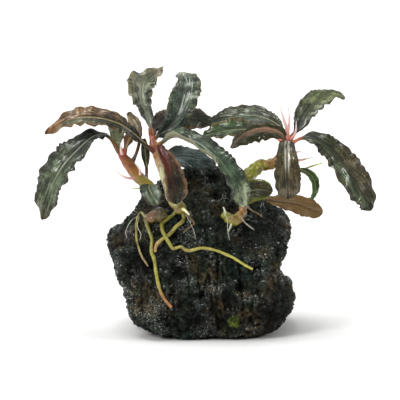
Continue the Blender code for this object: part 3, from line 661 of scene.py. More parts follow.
# %% [markdown]
# ## A stem's finish
# A living stem is olive where it is old and orange or red at its crown, with fine strands along it
# and rusty blotches. One ramp node could hold the tones. Here they are blended one after another
# as the stem runs on, with noise in each border, so that no ring of colour goes round it.
# %% The stems' finish and their skins


def stem_finish(name, tones):
    flesh = Finish(name)
    part, far, turn = flesh.attribute("tube_place")
    where = flesh.place()
    blotch = flesh.noise(where, 0.7, 3.0)
    fine = flesh.noise(where, 4.0, 3.0)
    strands = flesh.noise(flesh.point(far * 0.35, turn * 22), 1.0, 3.0, 0.6)
    color = tone(*tones[0])
    for index, following in enumerate(tones[1:]):
        start = index / (len(tones) - 1)
        reached = (part + 0.16 * (blotch - 0.5)).step(start, start + 1 / (len(tones) - 1))
        color = flesh.mix(reached, color, tone(*following))
    color = flesh.shade(color, 0.4 + 1.2 * (strands * 0.6 + fine * 0.4))
    rust = blotch.step(0.5, 0.64) * fine.step(0.35, 0.5) * 0.75
    color = flesh.mix(rust, color, tone(104, 58, 26))
    color = flesh.mix(strands.step(0.58, 0.72) * 0.4, color, tone(200, 186, 108))
    normal = flesh.bump(fine, 0.06, flesh.bump(strands, 0.15))
    return flesh.surface(
        Base_Color=color, Roughness=0.25 + 0.2 * blotch, Normal=normal, Coat_Weight=0.5,
        Coat_Roughness=0.1,
    )


def make_stem(stem):
    line = stem_lines[stem.name]
    rings = tube_rings(line, stem_radii(stem, line), STEM_SIDES, stem.bumps)
    mesh = ring_mesh(stem.name + "_flesh", rings, {"tube_place": tube_place(line, STEM_SIDES)})
    finish = stem_finish(stem.name + "_flesh", stem.tones)
    return add_piece(stem.name + "_flesh", mesh, finish, "stem", stem.name)


print("stems:", [make_stem(stem).name for stem in STEMS])

# %% [markdown]
# ## A leaf's form
# Each leaf is a thick, waxy blade with a sunken midrib, veins that run forward from it, and a
# margin that is longer than the blade is, so it can't lie flat and ruffles. Cloth simulation would
# ruffle it too, but it gives a new shape each time a size changes. Here the blade is a grid:
# its lines follow the midrib, each half is folded and curled from it, and the ruffle grows
# towards the margin with a wander in its pace, as growth gives it.
# %% The leaf's skin
FLAT = (0, 0, 0)
KEEL = (14, 12, 8)
Leaf = namedtuple(
    "Leaf", "name stem points face left right end petiole ruffle waves slot tones fold curl",
    defaults=((KEEL, KEEL), (FLAT, FLAT)),
)
PETIOLE_RADIUS = 0.36
BLADE_HALF_THICKNESS = 0.2
CLASP_LENGTH = 3.6
CLASP = 0.9
WIDTH_STEPS = np.array((0.0, 0.1, 0.3, 0.5, 0.7, 0.9, 1.0))
OPENING = 0.12
LEAF_STEP = 0.2
LEAF_COLUMNS = 29
RIPPLE_LENGTH = 1.7
RIPPLE_HEIGHT = 0.15
RIPPLE_WANDER = 0.8
FULL_RUFFLE = 0.35
CALM_TIP = 0.1
TIP_ROUNDING = 1.3
LEAF_END = 0.05
SCALLOP = 0.05
VEIN_SPACING = 2.6
VEIN_SLANT = 3.2
VEIN_RELIEF = 0.05
RIB_WIDTH = 0.3
RIB_DEPTH = 0.1
RIB_BELOW = 0.24


def blade_width(widths, end, part):
    """Half width along the blade, from five widths, a narrow foot and the end's own."""
    values = np.array((PETIOLE_RADIUS, *widths, end))
    index = np.clip(np.searchsorted(WIDTH_STEPS, part) - 1, 0, len(WIDTH_STEPS) - 2)
    span = (part - WIDTH_STEPS[index]) / (WIDTH_STEPS[index + 1] - WIDTH_STEPS[index])
    before = values[np.maximum(index - 1, 0)]
    after = values[np.minimum(index + 2, len(values) - 1)]
    found = between(before, values[index], values[index + 1], after, span)
    return np.where(part > 0, found, PETIOLE_RADIUS)


def leaf_section():
    """Once round a leaf: across, -1 to 1, and whether a point is on the upper or lower skin."""
    over = np.sin(np.linspace(-math.pi / 2, math.pi / 2, LEAF_COLUMNS))
    across = np.concatenate([over, over[-2:0:-1]])
    above = np.concatenate([np.ones(LEAF_COLUMNS), -np.ones(LEAF_COLUMNS - 2)])
    above[[0, LEAF_COLUMNS - 1]] = 0.0
    return across, above


def leaf_skin(leaf, midrib, row):
    """Rings of points round the leaf, and what its material needs to know at each of them."""
    across, above = leaf_section()
    reach = np.abs(across)
    half = (across > 0).astype(int)
    part = np.linspace(0.0, 1.0, len(midrib))
    far = part * length_of(midrib)
    blade = (part - leaf.petiole) / (1 - leaf.petiole)
    opened = ease(blade / OPENING)[:, None]
    rounding = TIP_ROUNDING * leaf.end / far[-1]
    closing = rounded((1 - blade) / rounding, LEAF_END)[:, None]
    clasp = (1 + CLASP * ease(1 - far / CLASP_LENGTH))[:, None]

    sides = [blade_width(widths, leaf.end, blade) for widths in (leaf.left, leaf.right)]
    widths = np.stack(sides, axis=1)[:, half]
    widths = widths * np.where(blade > 0, 1, clasp[:, 0])[:, None]
    pace = far / RIPPLE_LENGTH
    drifts = [RIPPLE_WANDER * wander(row + side, pace * 0.45) for side in (0.1, 0.6)]
    phases = np.stack([pace + drift for drift in drifts], axis=1)
    sizes = [0.7 + 0.5 * wander(row + side, pace * 0.3) for side in (0.3, 0.8)]
    sizes = np.stack(sizes, axis=1)
    turns = 2 * math.pi * phases[:, half]
    swell = sizes[:, half] * opened * np.clip((1 - blade) / CALM_TIP, 0.0, 1.0)[:, None]
    lobes = 2 * np.abs(np.sin(turns / 2)) - 1
    widths = widths * (1 + SCALLOP * lobes * swell * reach ** 4) * closing

    heading = directions(midrib)
    upper = along(unit(np.array(leaf.face, float)), part)
    upper = unit(upper - heading * (upper * heading).sum(axis=1, keepdims=True))
    side = np.cross(heading, upper)

    folds = np.stack([np.radians(along(leaf.fold[index], blade)) for index in (0, 1)], axis=1)
    curls = np.stack([np.radians(along(leaf.curl[index], blade)) for index in (0, 1)], axis=1)
    fold = folds[:, half] * opened
    curl = curls[:, half] * opened
    curl = np.where(np.abs(curl) < 1e-3, 1e-3, curl)
    turned = fold + curl * reach
    outward = widths * (np.sin(turned) - np.sin(fold)) / curl
    upward = widths * (np.cos(fold) - np.cos(turned)) / curl

    drift = 0.25 * wander(row + 0.9, blade * 4)[:, None]
    waves = leaf.waves * (blade[:, None] + drift / 4) + 0.25 * half
    waves = np.sin(2 * math.pi * waves) * leaf.ruffle
    flutter = min(1.0, leaf.ruffle / FULL_RUFFLE)
    ripple = np.sin(turns) * swell * RIPPLE_HEIGHT * flutter
    lift = opened * waves * reach ** 2 + ripple * reach ** 3
    wide = widths * reach
    quilt = np.abs(np.sin(math.pi * (far[:, None] - VEIN_SLANT * wide) / VEIN_SPACING))
    lift = lift + VEIN_RELIEF * quilt * opened * ease(wide / 0.8) * (1 - reach ** 6)
    rib = np.exp(-(wide / RIB_WIDTH) ** 2) * opened
    thin = BLADE_HALF_THICKNESS * (1 - 0.5 * np.clip(blade, 0, 1))[:, None]
    thick = (PETIOLE_RADIUS * clasp * (1 - opened) + thin * opened) * closing
    round_off = np.sqrt(1 - reach ** (2 + 3 * opened))
    lift = lift + above * thick * round_off
    lift = lift - rib * np.where(above > 0, RIB_DEPTH, RIB_BELOW) * closing

    sign = np.where(half, 1.0, -1.0)[:, None]
    level = side[:, None, :] * sign
    square = upper[:, None, :] * np.cos(turned)[..., None] - level * np.sin(turned)[..., None]
    rings = midrib[:, None, :] + level * outward[..., None] + upper[:, None, :] * upward[..., None]
    rings = rings + square * lift[..., None]
    place = np.stack(np.broadcast_arrays(blade[:, None], across, above), axis=-1)
    crest = np.sin(turns) * swell * flutter
    size = np.stack(np.broadcast_arrays(far[:, None], wide * sign[:, 0], crest), axis=-1)
    return rings, {"leaf_place": place, "leaf_size": size}


print("points round a leaf:", len(leaf_section()[0]))

# %% [markdown]
# ## A leaf's finish
# The leaves are dark, grey-green to maroon, with a pale midrib, thin veins, brown ruffled margins
# and a waxy shine. One function makes every leaf's material from a short table of its own
# tones, because all the leaves are built alike and only their colours differ with age and light.
# The mesh tells the material where each point is on its leaf: how far along the blade, how
# far across, on which skin, and how high on a ripple. That keeps veins and margins in place.
# Some of the colour is painted light: shade in the hollows of the ripples, shade or sheen in the
# band beside the midrib, and sheen in the pale veins and on some pale tips.
# %% The leaf's material
Look = namedtuple("Look", "left right foot tip margin vein rib flank under hem stalk")
SHINE = 1.0


def leaf_finish(name, look):
    skin = Finish(name)
    blade, across, above = skin.attribute("leaf_place")
    far, wide, crest = skin.attribute("leaf_size")
    tones = {field: tone(*value) for field, value in look._asdict().items()}
    where = skin.place()
    reach = abs(across)
    side = abs(wide)
    half = across.step(-0.1, 0.1)
    forward = far - side * VEIN_SLANT
    cloud = skin.noise(where, 0.35, 3.0, 0.6)
    grain = skin.noise(where, 2.6, 4.0, 0.7)
    lines = skin.noise(skin.point(forward * 0.3, side * 2.4, half * 9), 1.0, 3.0, 0.65)
    cells = skin.node("TexVoronoi", None, Vector=where, Scale=3.4)

    color = skin.mix(half, tones["left"], tones["right"])
    color = skin.mix((blade + 0.3 * (cloud - 0.5)).step(0.6, 0.18), color, tones["foot"])
    # The tip tone: the tip's own colour on most leaves, and a pale painted sheen on the upright,
    # broad and arching leaves.
    color = skin.mix((blade + 0.25 * (cloud - 0.5)).step(0.75, 1.02), color, tones["tip"])
    mottle = (lines * 0.5 + grain * 0.3 + cloud * 0.2).step(0.32, 0.68)
    patches = cloud.step(0.35, 0.65)
    color = skin.shade(color, (0.08 + 1.5 * mottle) * (0.55 + 0.9 * patches))
    # Pale lines along the veins and streaks: partly the veins' own colour, partly a painted sheen.
    vein = abs((forward / VEIN_SPACING).fraction() - 0.5) * 2
    vein = vein.step(0.8, 0.98) * side.step(0.1, 0.5) * reach.step(0.98, 0.75)
    vein = (vein * 0.5 + lines.step(0.56, 0.7)) * grain.step(0.35, 0.6)
    color = skin.mix(vein * 0.7, color, tones["vein"])
    chance = skin.node("SeparateXYZ", None, cells.out("Color")).out("X")
    dots = chance.step(0.6, 0.9) * cells.step(0.4, 0.25) * cloud.step(0.4, 0.62)
    color = skin.mix(dots * 0.45, color, tone(168, 172, 150))
    edge = (reach + 0.35 * (grain - 0.5) + 0.1 * crest).step(0.66, 0.96)
    edge = edge * blade.step(0.05, 0.45)
    color = skin.mix(edge * 0.85, color, skin.shade(tones["margin"], 0.3 + 1.4 * grain))
    # Darker in the hollows of the ripples near the margin: painted shade.
    color = skin.shade(color, 1 - 0.65 * crest.step(-0.1, -0.6) * reach.step(0.5, 0.75))
    # The band beside the midrib: painted shade of its groove where the tone is dark, painted sheen
    # where it is pale, and partly the band's own colour.
    flank = side.step(0.9, 0.35) * lines.step(0.3, 0.55) * (blade + 0.3 * cloud).step(0.85, 0.6)
    color = skin.mix(flank * 0.75, color, tones["flank"])
    rib = side.step(0.24, 0.1) * (blade + 0.3 * (grain - 0.5)).step(0.95, 0.5)
    color = skin.mix(rib * 0.75, color, tones["rib"])
    below = skin.mix((reach + 0.4 * (cloud - 0.5)).step(0.12, 0.45), tones["under"], tones["hem"])
    below = skin.mix((blade + 0.4 * (cloud - 0.5)).step(0.4, 0.8) * 0.7, below, tones["hem"])
    below = skin.shade(below, 0.3 + 1.4 * (lines * 0.6 + grain * 0.4))
    below = skin.mix(side.step(0.22, 0.1) * blade.step(0.9, 0.5) * 0.6, below, tones["rib"])
    color = skin.mix(above.step(0.15, -0.15), color, below)
    color = skin.mix(blade.step(0.05, -0.05), color, skin.shade(tones["stalk"], 0.3 + 1.4 * lines))
    normal = skin.bump(cells, 0.045, skin.bump(grain, 0.06, skin.bump(lines, 0.22)))
    gloss = (lines * 0.6 + cloud * 0.4).step(0.46, 0.6)
    rough = 0.42 - 0.2 * gloss + 0.1 * grain
    return skin.surface(
        Base_Color=color, Roughness=rough, Normal=normal, Coat_Weight=SHINE * gloss,
        Coat_Roughness=0.14, Specular_IOR_Level=0.3,
    )


# %% [markdown]
# ## The leaves
# Twenty-two leaves grow from the stems, each with its own path, widths, folds and tones. A
# scatter of one leaf would be quicker, but no two leaves of this plant are alike: old ones arch
# and brown, young ones stand up green, and one hangs folded along its midrib. So each has its
# row in a table. The points run along the midrib from foot to tip in millimetres, the next
# directions say where its upper skin faces, and the widths are those of its left and right half.
# %% The table of leaves
# The common look. Its dark flank tone is painted shade in the midrib's groove.
OLIVE = Look(
    left=(52, 58, 33), right=(56, 62, 36), foot=(16, 26, 19), tip=(66, 62, 31), margin=(52, 42, 25),
    vein=(92, 100, 62), rib=(142, 150, 100), flank=(22, 24, 16), under=(78, 62, 40),
    hem=(50, 46, 27), stalk=(88, 58, 35),
)
RED_STALK = (206, 128, 98)


def tinted(**tones):
    """The common olive look with some tones of its own."""
    return OLIVE._replace(**tones)


LEAVES = (
    Leaf(
        "leaf_left_long", "stem_left_side_shoot",
        ((-18.3, -6.5, 41.5), (-19.3, -7.5, 43.5), (-20.8, -8.3, 44.4), (-23, -9.8, 44),
         (-26, -11.3, 41.5), (-28.8, -12.2, 38.5), (-31, -12.5, 35), (-32.7, -12, 30.8),
         (-33.6, -11, 26.4)),
        ((0, -0.4, 0.9), (-0.5, -0.8, 0.45), (-0.5, -0.85, 0.1)),
        (1.5, 2.6, 3.2, 3.3, 2.2), (1.6, 3.4, 4.1, 3.9, 2.3),
        0.4, 0.13, 0.5, 6, "leaf_grey_green",
        # Its dark flank tone is painted shade in the midrib's groove.
        tinted(
            tip=(64, 58, 36), stalk=(112, 84, 44), left=(70, 84, 58), right=(84, 96, 70),
            vein=(132, 136, 112), rib=(168, 174, 150), flank=(20, 24, 16), margin=(50, 46, 30),
        ),
    ),
    Leaf(
        "leaf_left_raised", "stem_left",
        ((-10.3, -7, 40.2), (-12, -8.3, 42.5), (-14.2, -9.3, 44.7), (-17.5, -10, 47),
         (-22.5, -9.8, 48.2), (-27.8, -9, 47.7), (-33.3, -8, 44.5)),
        ((-0.3, -0.5, 0.8), (-0.2, -0.7, 0.7), (-0.4, -0.75, 0.55)),
        (1.2, 2.0, 2.4, 2.2, 1.2), (0.9, 1.9, 2.6, 2.4, 1.3),
        0.3, 0.12, 0.4, 6, "leaf_olive_brown",
        tinted(
            left=(84, 88, 58), right=(120, 94, 66), foot=(14, 30, 24), tip=(136, 92, 52),
            margin=(112, 82, 48), vein=(170, 142, 104), rib=(176, 158, 111), stalk=(90, 62, 39),
        ),
    ),
    Leaf(
        "leaf_left_upright", "stem_left",
        ((-10.8, -5.2, 44), (-11.2, -4.3, 48), (-12.2, -2.5, 50.3), (-12.8, 0, 53),
         (-12.6, 3, 54.7), (-10.9, 5.5, 55.9), (-8.1, 6.5, 58.1)),
        ((0, -0.9, 0.4), (0.1, -0.85, 0.5), (0.1, -0.4, 0.9)),
        (1.1, 2.1, 3.1, 3.2, 1.4), (1.0, 1.8, 2.6, 2.8, 1.8),
        0.45, 0.08, 0.55, 6, "leaf_grey_green",
        # Its pale tip tone is partly the tip's own brown, partly a painted sheen where the blade
        # bends back.
        tinted(
            left=(106, 108, 84), right=(88, 96, 68), foot=(34, 40, 30), tip=(152, 136, 108),
            margin=(124, 120, 92), vein=(128, 134, 108), rib=(96, 104, 76), stalk=(130, 74, 44),
            flank=(130, 136, 116),
        ),
    ),
    Leaf(
        "leaf_left_broad", "stem_left",
        ((-9.5, -5, 43), (-6.7, -4.4, 45.7), (-4.9, -3, 48.5), (-3.7, 0, 52.3), (-3.6, 3, 54.9),
         (-4.7, 5.4, 56.8)),
        ((0.3, -0.9, 0.35), (0.1, -0.85, 0.5), (0, -0.5, 0.85)),
        (1.4, 2.3, 2.9, 2.4, 1.2), (1.9, 2.8, 3.3, 3.8, 3.2),
        1.5, 0.05, 0.35, 5, "leaf_grey_green",
        # Its near-white tip tone is a painted sheen where the blade turns back.
        tinted(
            left=(42, 58, 44), right=(62, 76, 56), foot=(8, 32, 26), tip=(160, 168, 148),
            margin=(84, 88, 62), vein=(126, 140, 112), rib=(60, 74, 45), stalk=(120, 84, 52),
        ),
    ),
    Leaf(
        "leaf_left_dark_back", "stem_left",
        ((-10, -4.5, 43.7), (-8.6, -1.2, 46.3), (-5.5, 2.2, 47.3), (-1.5, 4.2, 47),
         (2.9, 5.2, 46.1)),
        ((0, -0.2, 1), (0, -0.55, 0.85), (0.2, -0.6, 0.75)),
        (1.8, 2.5, 2.9, 2.8, 1.9), (2.2, 3.0, 3.3, 3.0, 2.0),
        1.0, 0.1, 0.42, 4, "leaf_dark",
        tinted(
            left=(40, 48, 32), right=(46, 50, 34), foot=(70, 54, 32), tip=(44, 48, 32),
            margin=(104, 80, 42), vein=(128, 118, 88), rib=(60, 48, 28), under=(46, 48, 32),
            hem=(40, 44, 30),
        ),
        fold=(KEEL, (-15, -28, -30)),
    ),
    Leaf(
        "leaf_left_arching", "stem_left",
        ((-9, -6, 41.5), (-6.3, -8.2, 43.9), (-3.5, -9.8, 44), (-0.7, -11.5, 43),
         (1.8, -13.2, 41.5), (4.2, -14.8, 39.5), (6.3, -16, 37), (8, -16.7, 34.3),
         (9.3, -16.5, 30)),
        ((0.1, -0.6, 0.8), (0.2, -0.8, 0.55), (0.45, -0.8, 0.4), (0.4, -0.9, 0.2)),
        (1.7, 2.3, 2.7, 2.8, 2.4), (2.1, 3.3, 3.5, 2.9, 2.4),
        1.7, 0.07, 0.3, 6, "leaf_teal",
        # Its pale tip tone is a painted sheen towards the end of the blade.
        tinted(
            left=(60, 80, 60), right=(72, 90, 68), foot=(70, 84, 56), tip=(146, 156, 122),
            margin=(38, 36, 20), vein=(78, 98, 62), rib=(124, 142, 104), under=(104, 104, 82),
            hem=(134, 134, 110), stalk=(160, 110, 60), flank=(30, 44, 34),
        ),
        fold=(KEEL, (25, 10, 5)),
        curl=(FLAT, (110, 80, 0)),
    ),
    Leaf(
        "leaf_left_hanging", "stem_left",
        ((-9.8, -6.8, 41), (-9, -9, 42), (-8.4, -11, 41), (-7.6, -12.2, 39.6), (-6.8, -13, 37.6),
         (-6.1, -13.5, 35.2), (-5.5, -14, 32.8), (-4.9, -14.2, 30.2)),
        ((0.1, -0.6, 0.8), (0.2, -0.95, 0.2), (0.2, -0.95, 0.2)),
        (1.1, 1.9, 2.7, 3.1, 2.8), (0.9, 1.1, 1.1, 1.6, 2.0),
        1.7, 0.1, 0.14, 4, "leaf_maroon",
        tinted(
            left=(44, 37, 24), right=(60, 42, 28), foot=(84, 40, 28), tip=(44, 48, 26),
            margin=(132, 102, 74), vein=(78, 50, 32), rib=(90, 20, 16), stalk=(178, 72, 54),
            flank=(98, 28, 22),
        ),
        fold=((8, 4, 0), (25, 20, 12)),
    ),
    Leaf(
        "leaf_left_on_stone", "stem_left_side_shoot",
        ((-11, -8.5, 33), (-11, -10.3, 33.2), (-10.2, -12.2, 31.8), (-9, -13.8, 29.8)),
        ((0, -0.5, 0.85), (0, -0.8, 0.6), (0, -0.9, 0.4)),
        (1.6, 2.1, 2.2, 2.0, 1.3), (1.6, 2.1, 2.2, 2.0, 1.3),
        0.9, 0.1, 0.2, 3, "leaf_teal",
        tinted(left=(84, 100, 78), right=(94, 108, 86), foot=(44, 62, 46)),
    ),
    Leaf(
        "leaf_left_glossy_back", "stem_left",
        ((-8.6, -6, 38), (-6, -3, 39), (-2.7, -0.8, 38.8), (0.5, 0.2, 37.9), (3.5, 0.5, 36.8)),
        ((0, -0.5, 0.85), (0.1, -0.75, 0.65), (0.2, -0.75, 0.65)),
        (1.5, 2.8, 3.1, 2.8, 1.7), (1.5, 2.8, 3.1, 2.8, 1.7),
        1.2, 0.13, 0.25, 3, "leaf_dark",
        # Its blue-grey tones, pale veins and pale flank are partly a painted sheen.
        tinted(
            left=(78, 98, 96), right=(80, 100, 98), foot=(46, 58, 54), tip=(40, 52, 46),
            margin=(24, 28, 20), vein=(146, 164, 164), rib=(34, 44, 36), flank=(120, 138, 134),
        ),
        fold=(FLAT, FLAT),
        curl=((-10, -15, -20), (-10, -15, -20)),
    ),
    Leaf(
        "leaf_left_young_green", "stem_left_side_shoot",
        ((-17.8, -6, 41), (-17.8, -4.4, 43), (-18.1, -3.2, 45.3), (-19, -1.2, 48)),
        ((0, -0.9, 0.4), (0, -0.9, 0.4), (0, -0.8, 0.6)),
        (0.9, 1.5, 1.8, 1.6, 0.9), (0.9, 1.5, 1.8, 1.6, 0.9),
        0.6, 0.2, 0.2, 3, "leaf_young_green",
        tinted(
            left=(150, 158, 132), right=(140, 150, 122), foot=(120, 122, 84), tip=(120, 124, 84),
            margin=(84, 76, 36), flank=(112, 122, 96),
        ),
    ),
    Leaf(
        "leaf_left_hidden_brown", "stem_left_side_shoot",
        ((-14.8, -7, 37.7), (-13.8, -4.8, 40), (-13.2, -3.5, 42.8), (-14, -1.5, 45.6),
         (-15.7, 0, 48.5)),
        ((0, -0.9, 0.4), (0, -0.9, 0.4), (0, -0.8, 0.6)),
        (0.7, 1.1, 1.3, 1.2, 0.7), (0.7, 1.1, 1.3, 1.2, 0.7),
        0.7, 0.5, 0.08, 3, "leaf_maroon",
        tinted(
            left=(168, 146, 116), right=(150, 130, 104), foot=(58, 50, 34), flank=(120, 100, 78),
            margin=(120, 92, 66),
        ),
    ),
    Leaf(
        "leaf_left_young_red", "stem_left_side_shoot",
        ((-16.7, -6.8, 39.5), (-15.7, -7.4, 42.3), (-14.8, -7.2, 43.9), (-13.3, -6.8, 42.8)),
        ((-0.6, 0.7, 0.4), (-0.1, 0.8, 0.6), (0.5, 0.8, 0.3)),
        (0.6, 1.0, 1.2, 1.0, 0.6), (0.6, 1.0, 1.2, 1.0, 0.6),
        0.4, 0.3, 0.1, 2, "leaf_maroon",
        tinted(
            left=(110, 56, 39), right=(104, 52, 37), under=(150, 92, 63), hem=(96, 64, 44),
            stalk=(150, 72, 39),
        ),
    ),
    Leaf(
        "leaf_left_narrow_back", "stem_left_side_shoot",
        ((-11.6, -7.5, 34), (-11.6, -4.4, 35.9), (-11.9, -3.5, 40), (-12.2, -2.3, 43)),
        ((0.3, -0.9, 0.3), (0.3, -0.9, 0.3), (0.2, -0.9, 0.4)),
        (0.6, 0.9, 1.0, 0.9, 0.5), (0.6, 0.9, 1.0, 0.9, 0.5),
        0.4, 0.45, 0.1, 2, "leaf_dark",
        tinted(left=(26, 40, 27), right=(26, 40, 27), foot=(70, 50, 23)),
    ),
    Leaf(
        "leaf_right_back", "stem_right",
        ((18.9, -5.7, 43), (16.8, -3.4, 46), (12.5, 0, 47.6), (7.5, 2, 47.2), (1.5, 3, 45.8)),
        ((-0.2, -0.5, 0.8), (-0.1, -0.65, 0.75), (-0.3, -0.65, 0.7)),
        (2.0, 3.8, 3.8, 3.2, 1.9), (1.2, 2.2, 2.8, 2.8, 1.8),
        1.2, 0.12, 0.32, 5, "leaf_teal",
        tinted(
            left=(40, 62, 42), right=(62, 70, 46), foot=(54, 56, 34), tip=(46, 58, 31),
            margin=(66, 60, 34), vein=(104, 116, 86), stalk=RED_STALK,
        ),
    ),
    Leaf(
        "leaf_right_curly", "stem_right",
        ((18.7, -5.7, 42), (15, -4.6, 44.3), (10, -3.6, 45), (5, -3.4, 44.6), (0.6, -3.4, 43.6)),
        ((0, -0.6, 0.8), (0, -0.65, 0.75), (-0.2, -0.7, 0.7)),
        (0.9, 1.8, 2.1, 2.0, 1.3), (1.0, 2.4, 2.9, 2.7, 1.6),
        0.8, 0.25, 0.35, 5, "leaf_young_green",
        tinted(
            left=(46, 70, 32), right=(56, 82, 36), foot=(60, 60, 27), tip=(50, 68, 31),
            margin=(98, 78, 36), stalk=RED_STALK, flank=(30, 40, 20),
        ),
    ),
    Leaf(
        "leaf_right_front", "stem_right",
        ((18.6, -6.2, 41.7), (17, -8.6, 45), (13.5, -10, 46), (10, -10.8, 45.2), (7.8, -11, 43.6),
         (6.5, -11, 41.8)),
        ((-0.3, 0.2, 0.9), (-0.2, 0.6, 0.75), (-0.5, 0.6, 0.6)),
        (1.1, 1.8, 1.8, 1.5, 0.9), (1.2, 2.6, 3.2, 3.0, 1.7),
        0.9, 0.12, 0.3, 5, "leaf_maroon",
        tinted(
            left=(52, 70, 34), right=(52, 70, 34), under=(178, 136, 112), hem=(56, 58, 32),
            margin=(112, 84, 44), rib=(92, 70, 48), stalk=RED_STALK,
        ),
        fold=(FLAT, FLAT),
        curl=(FLAT, (-90, -120, -60)),
    ),
    Leaf(
        "leaf_right_upright", "stem_right",
        ((19.4, -5.8, 43), (21.4, -3.7, 45.6), (23.3, -0.5, 48.7), (26, 2.3, 51), (29, 4.3, 51.9),
         (32.2, 5.5, 51.3)),
        ((-0.1, -0.85, 0.5), (-0.2, -0.8, 0.6), (0, -0.6, 0.8)),
        (1.3, 2.3, 2.7, 2.5, 1.0), (1.3, 2.4, 2.8, 2.5, 1.0),
        0.7, 0.12, 0.35, 5, "leaf_grey_green",
        tinted(
            left=(106, 116, 74), right=(98, 108, 66), foot=(36, 40, 22), tip=(148, 154, 112),
            margin=(60, 58, 28), vein=(132, 140, 98), rib=(64, 72, 36), stalk=(120, 72, 39),
        ),
    ),
    Leaf(
        "leaf_right_long", "stem_right",
        ((19.2, -5.8, 41.3), (21.8, -8, 43.6), (24.8, -9.3, 43.6), (28.3, -10.5, 41),
         (31.8, -11, 36.7), (34.8, -10.5, 32), (36.8, -10, 28.3)),
        ((0, -0.5, 0.85), (0.3, -0.85, 0.4), (0.5, -0.85, 0.15)),
        (1.6, 2.8, 3.4, 3.5, 2.5), (1.6, 2.7, 3.3, 3.6, 2.6),
        1.6, 0.16, 0.4, 6, "leaf_grey_green",
        tinted(
            left=(78, 70, 48), right=(64, 76, 48), foot=(52, 58, 33), tip=(54, 64, 36),
            margin=(70, 58, 40), vein=(118, 124, 98), rib=(52, 58, 40), stalk=RED_STALK,
        ),
    ),
    Leaf(
        "leaf_right_hanging", "stem_right",
        ((19.1, -6.6, 41), (18.7, -9.3, 42.9), (18.5, -11.8, 41.6), (18.5, -13.2, 38.5),
         (18.6, -13.6, 35), (19, -13.2, 31.2)),
        ((0, -0.4, 0.9), (0, -0.97, 0.25), (0, -1, 0)),
        (1.3, 2.0, 2.6, 2.9, 2.4), (1.5, 2.1, 2.6, 2.8, 2.3),
        1.6, 0.18, 0.15, 3, "leaf_olive_brown",
        # Its white flank tone is a painted sheen either side of the midrib.
        tinted(
            left=(72, 60, 32), right=(64, 56, 30), foot=(44, 42, 22), tip=(64, 52, 28),
            margin=(66, 56, 32), vein=(116, 106, 70), rib=(24, 22, 14), stalk=RED_STALK,
            flank=(204, 200, 178),
        ),
    ),
    Leaf(
        "leaf_right_low", "stem_right",
        ((10.6, -8.5, 30.6), (13.3, -8.4, 30.6), (16.8, -7.5, 30.1), (20.8, -7, 29.4),
         (24, -7.2, 28.3), (26.5, -7.5, 27.2)),
        ((0, 0.7, 0.7), (0.1, 0.8, 0.6), (0.2, 0.85, 0.5)),
        (1.0, 2.0, 2.6, 2.8, 2.2), (1.0, 2.0, 2.6, 2.9, 2.2),
        1.7, 0.25, 0.2, 4, "leaf_maroon",
        tinted(
            under=(110, 88, 54), hem=(116, 90, 54), rib=(48, 36, 19), stalk=(110, 112, 44),
            margin=(86, 72, 40), flank=(40, 32, 20),
        ),
        fold=(FLAT, FLAT),
        curl=((0, -10, -10), (0, -10, -10)),
    ),
    Leaf(
        "leaf_right_small_curl", "stem_right",
        ((17.3, -4.6, 38.3), (20, -7, 37.1), (22.8, -8.8, 36.5), (24.5, -9.6, 34.7),
         (24.6, -10, 32.5), (24, -10, 30.5)),
        ((0, -0.5, 0.85), (0.5, -0.8, 0.3), (0.6, -0.8, 0)),
        (0.6, 1.0, 1.1, 1.0, 0.6), (0.6, 1.0, 1.1, 1.0, 0.6),
        0.5, 0.4, 0.1, 3, "leaf_young_green",
        tinted(
            left=(84, 120, 62), right=(88, 124, 66), foot=(84, 104, 36), tip=(72, 104, 56),
            margin=(96, 116, 47), stalk=(150, 158, 55),
        ),
    ),
    Leaf(
        "leaf_right_round", "stem_right",
        ((10.5, -8, 31), (11, -10, 32.4), (13, -11.2, 32.9), (15.6, -11.4, 32.7)),
        ((-0.2, -0.8, 0.5), (0, -0.9, 0.4), (0.1, -0.95, 0.3)),
        (1.4, 2.1, 2.3, 2.2, 1.6), (1.4, 2.1, 2.3, 2.2, 1.6),
        1.2, 0.15, 0.05, 3, "leaf_olive_brown",
        tinted(
            left=(66, 60, 27), right=(60, 56, 25), margin=(104, 110, 44), stalk=(140, 146, 50),
            tip=(64, 58, 27),
        ),
    ),
)


def nearest_on(line, point):
    """The point of a stem's line, away from its ends, that is nearest to `point`."""
    inner = line[4:-4]
    return inner[np.argmin(np.linalg.norm(inner - np.array(point, float), axis=1))]


def out_of_stem(stem, points):
    """The same points, but the first one lies inside the stem."""
    return [nearest_on(stem_lines[stem], points[0]), *points[1:]]


def make_leaf(leaf, row):
    points = out_of_stem(leaf.stem, leaf.points)
    count = round(length_of(points) / LEAF_STEP)
    rings, attributes = leaf_skin(leaf, smooth(points, count), row)
    mesh = ring_mesh(leaf.name + "_blade", rings, attributes)
    finish = leaf_finish(leaf.name + "_wax", leaf.tones)
    return add_piece(leaf.name + "_blade", mesh, finish, leaf.slot, leaf.name)


leaves = [make_leaf(leaf, row) for row, leaf in enumerate(LEAVES)]
print("leaves:", len(leaves), "with squares:", sum(len(leaf.data.polygons) for leaf in leaves))

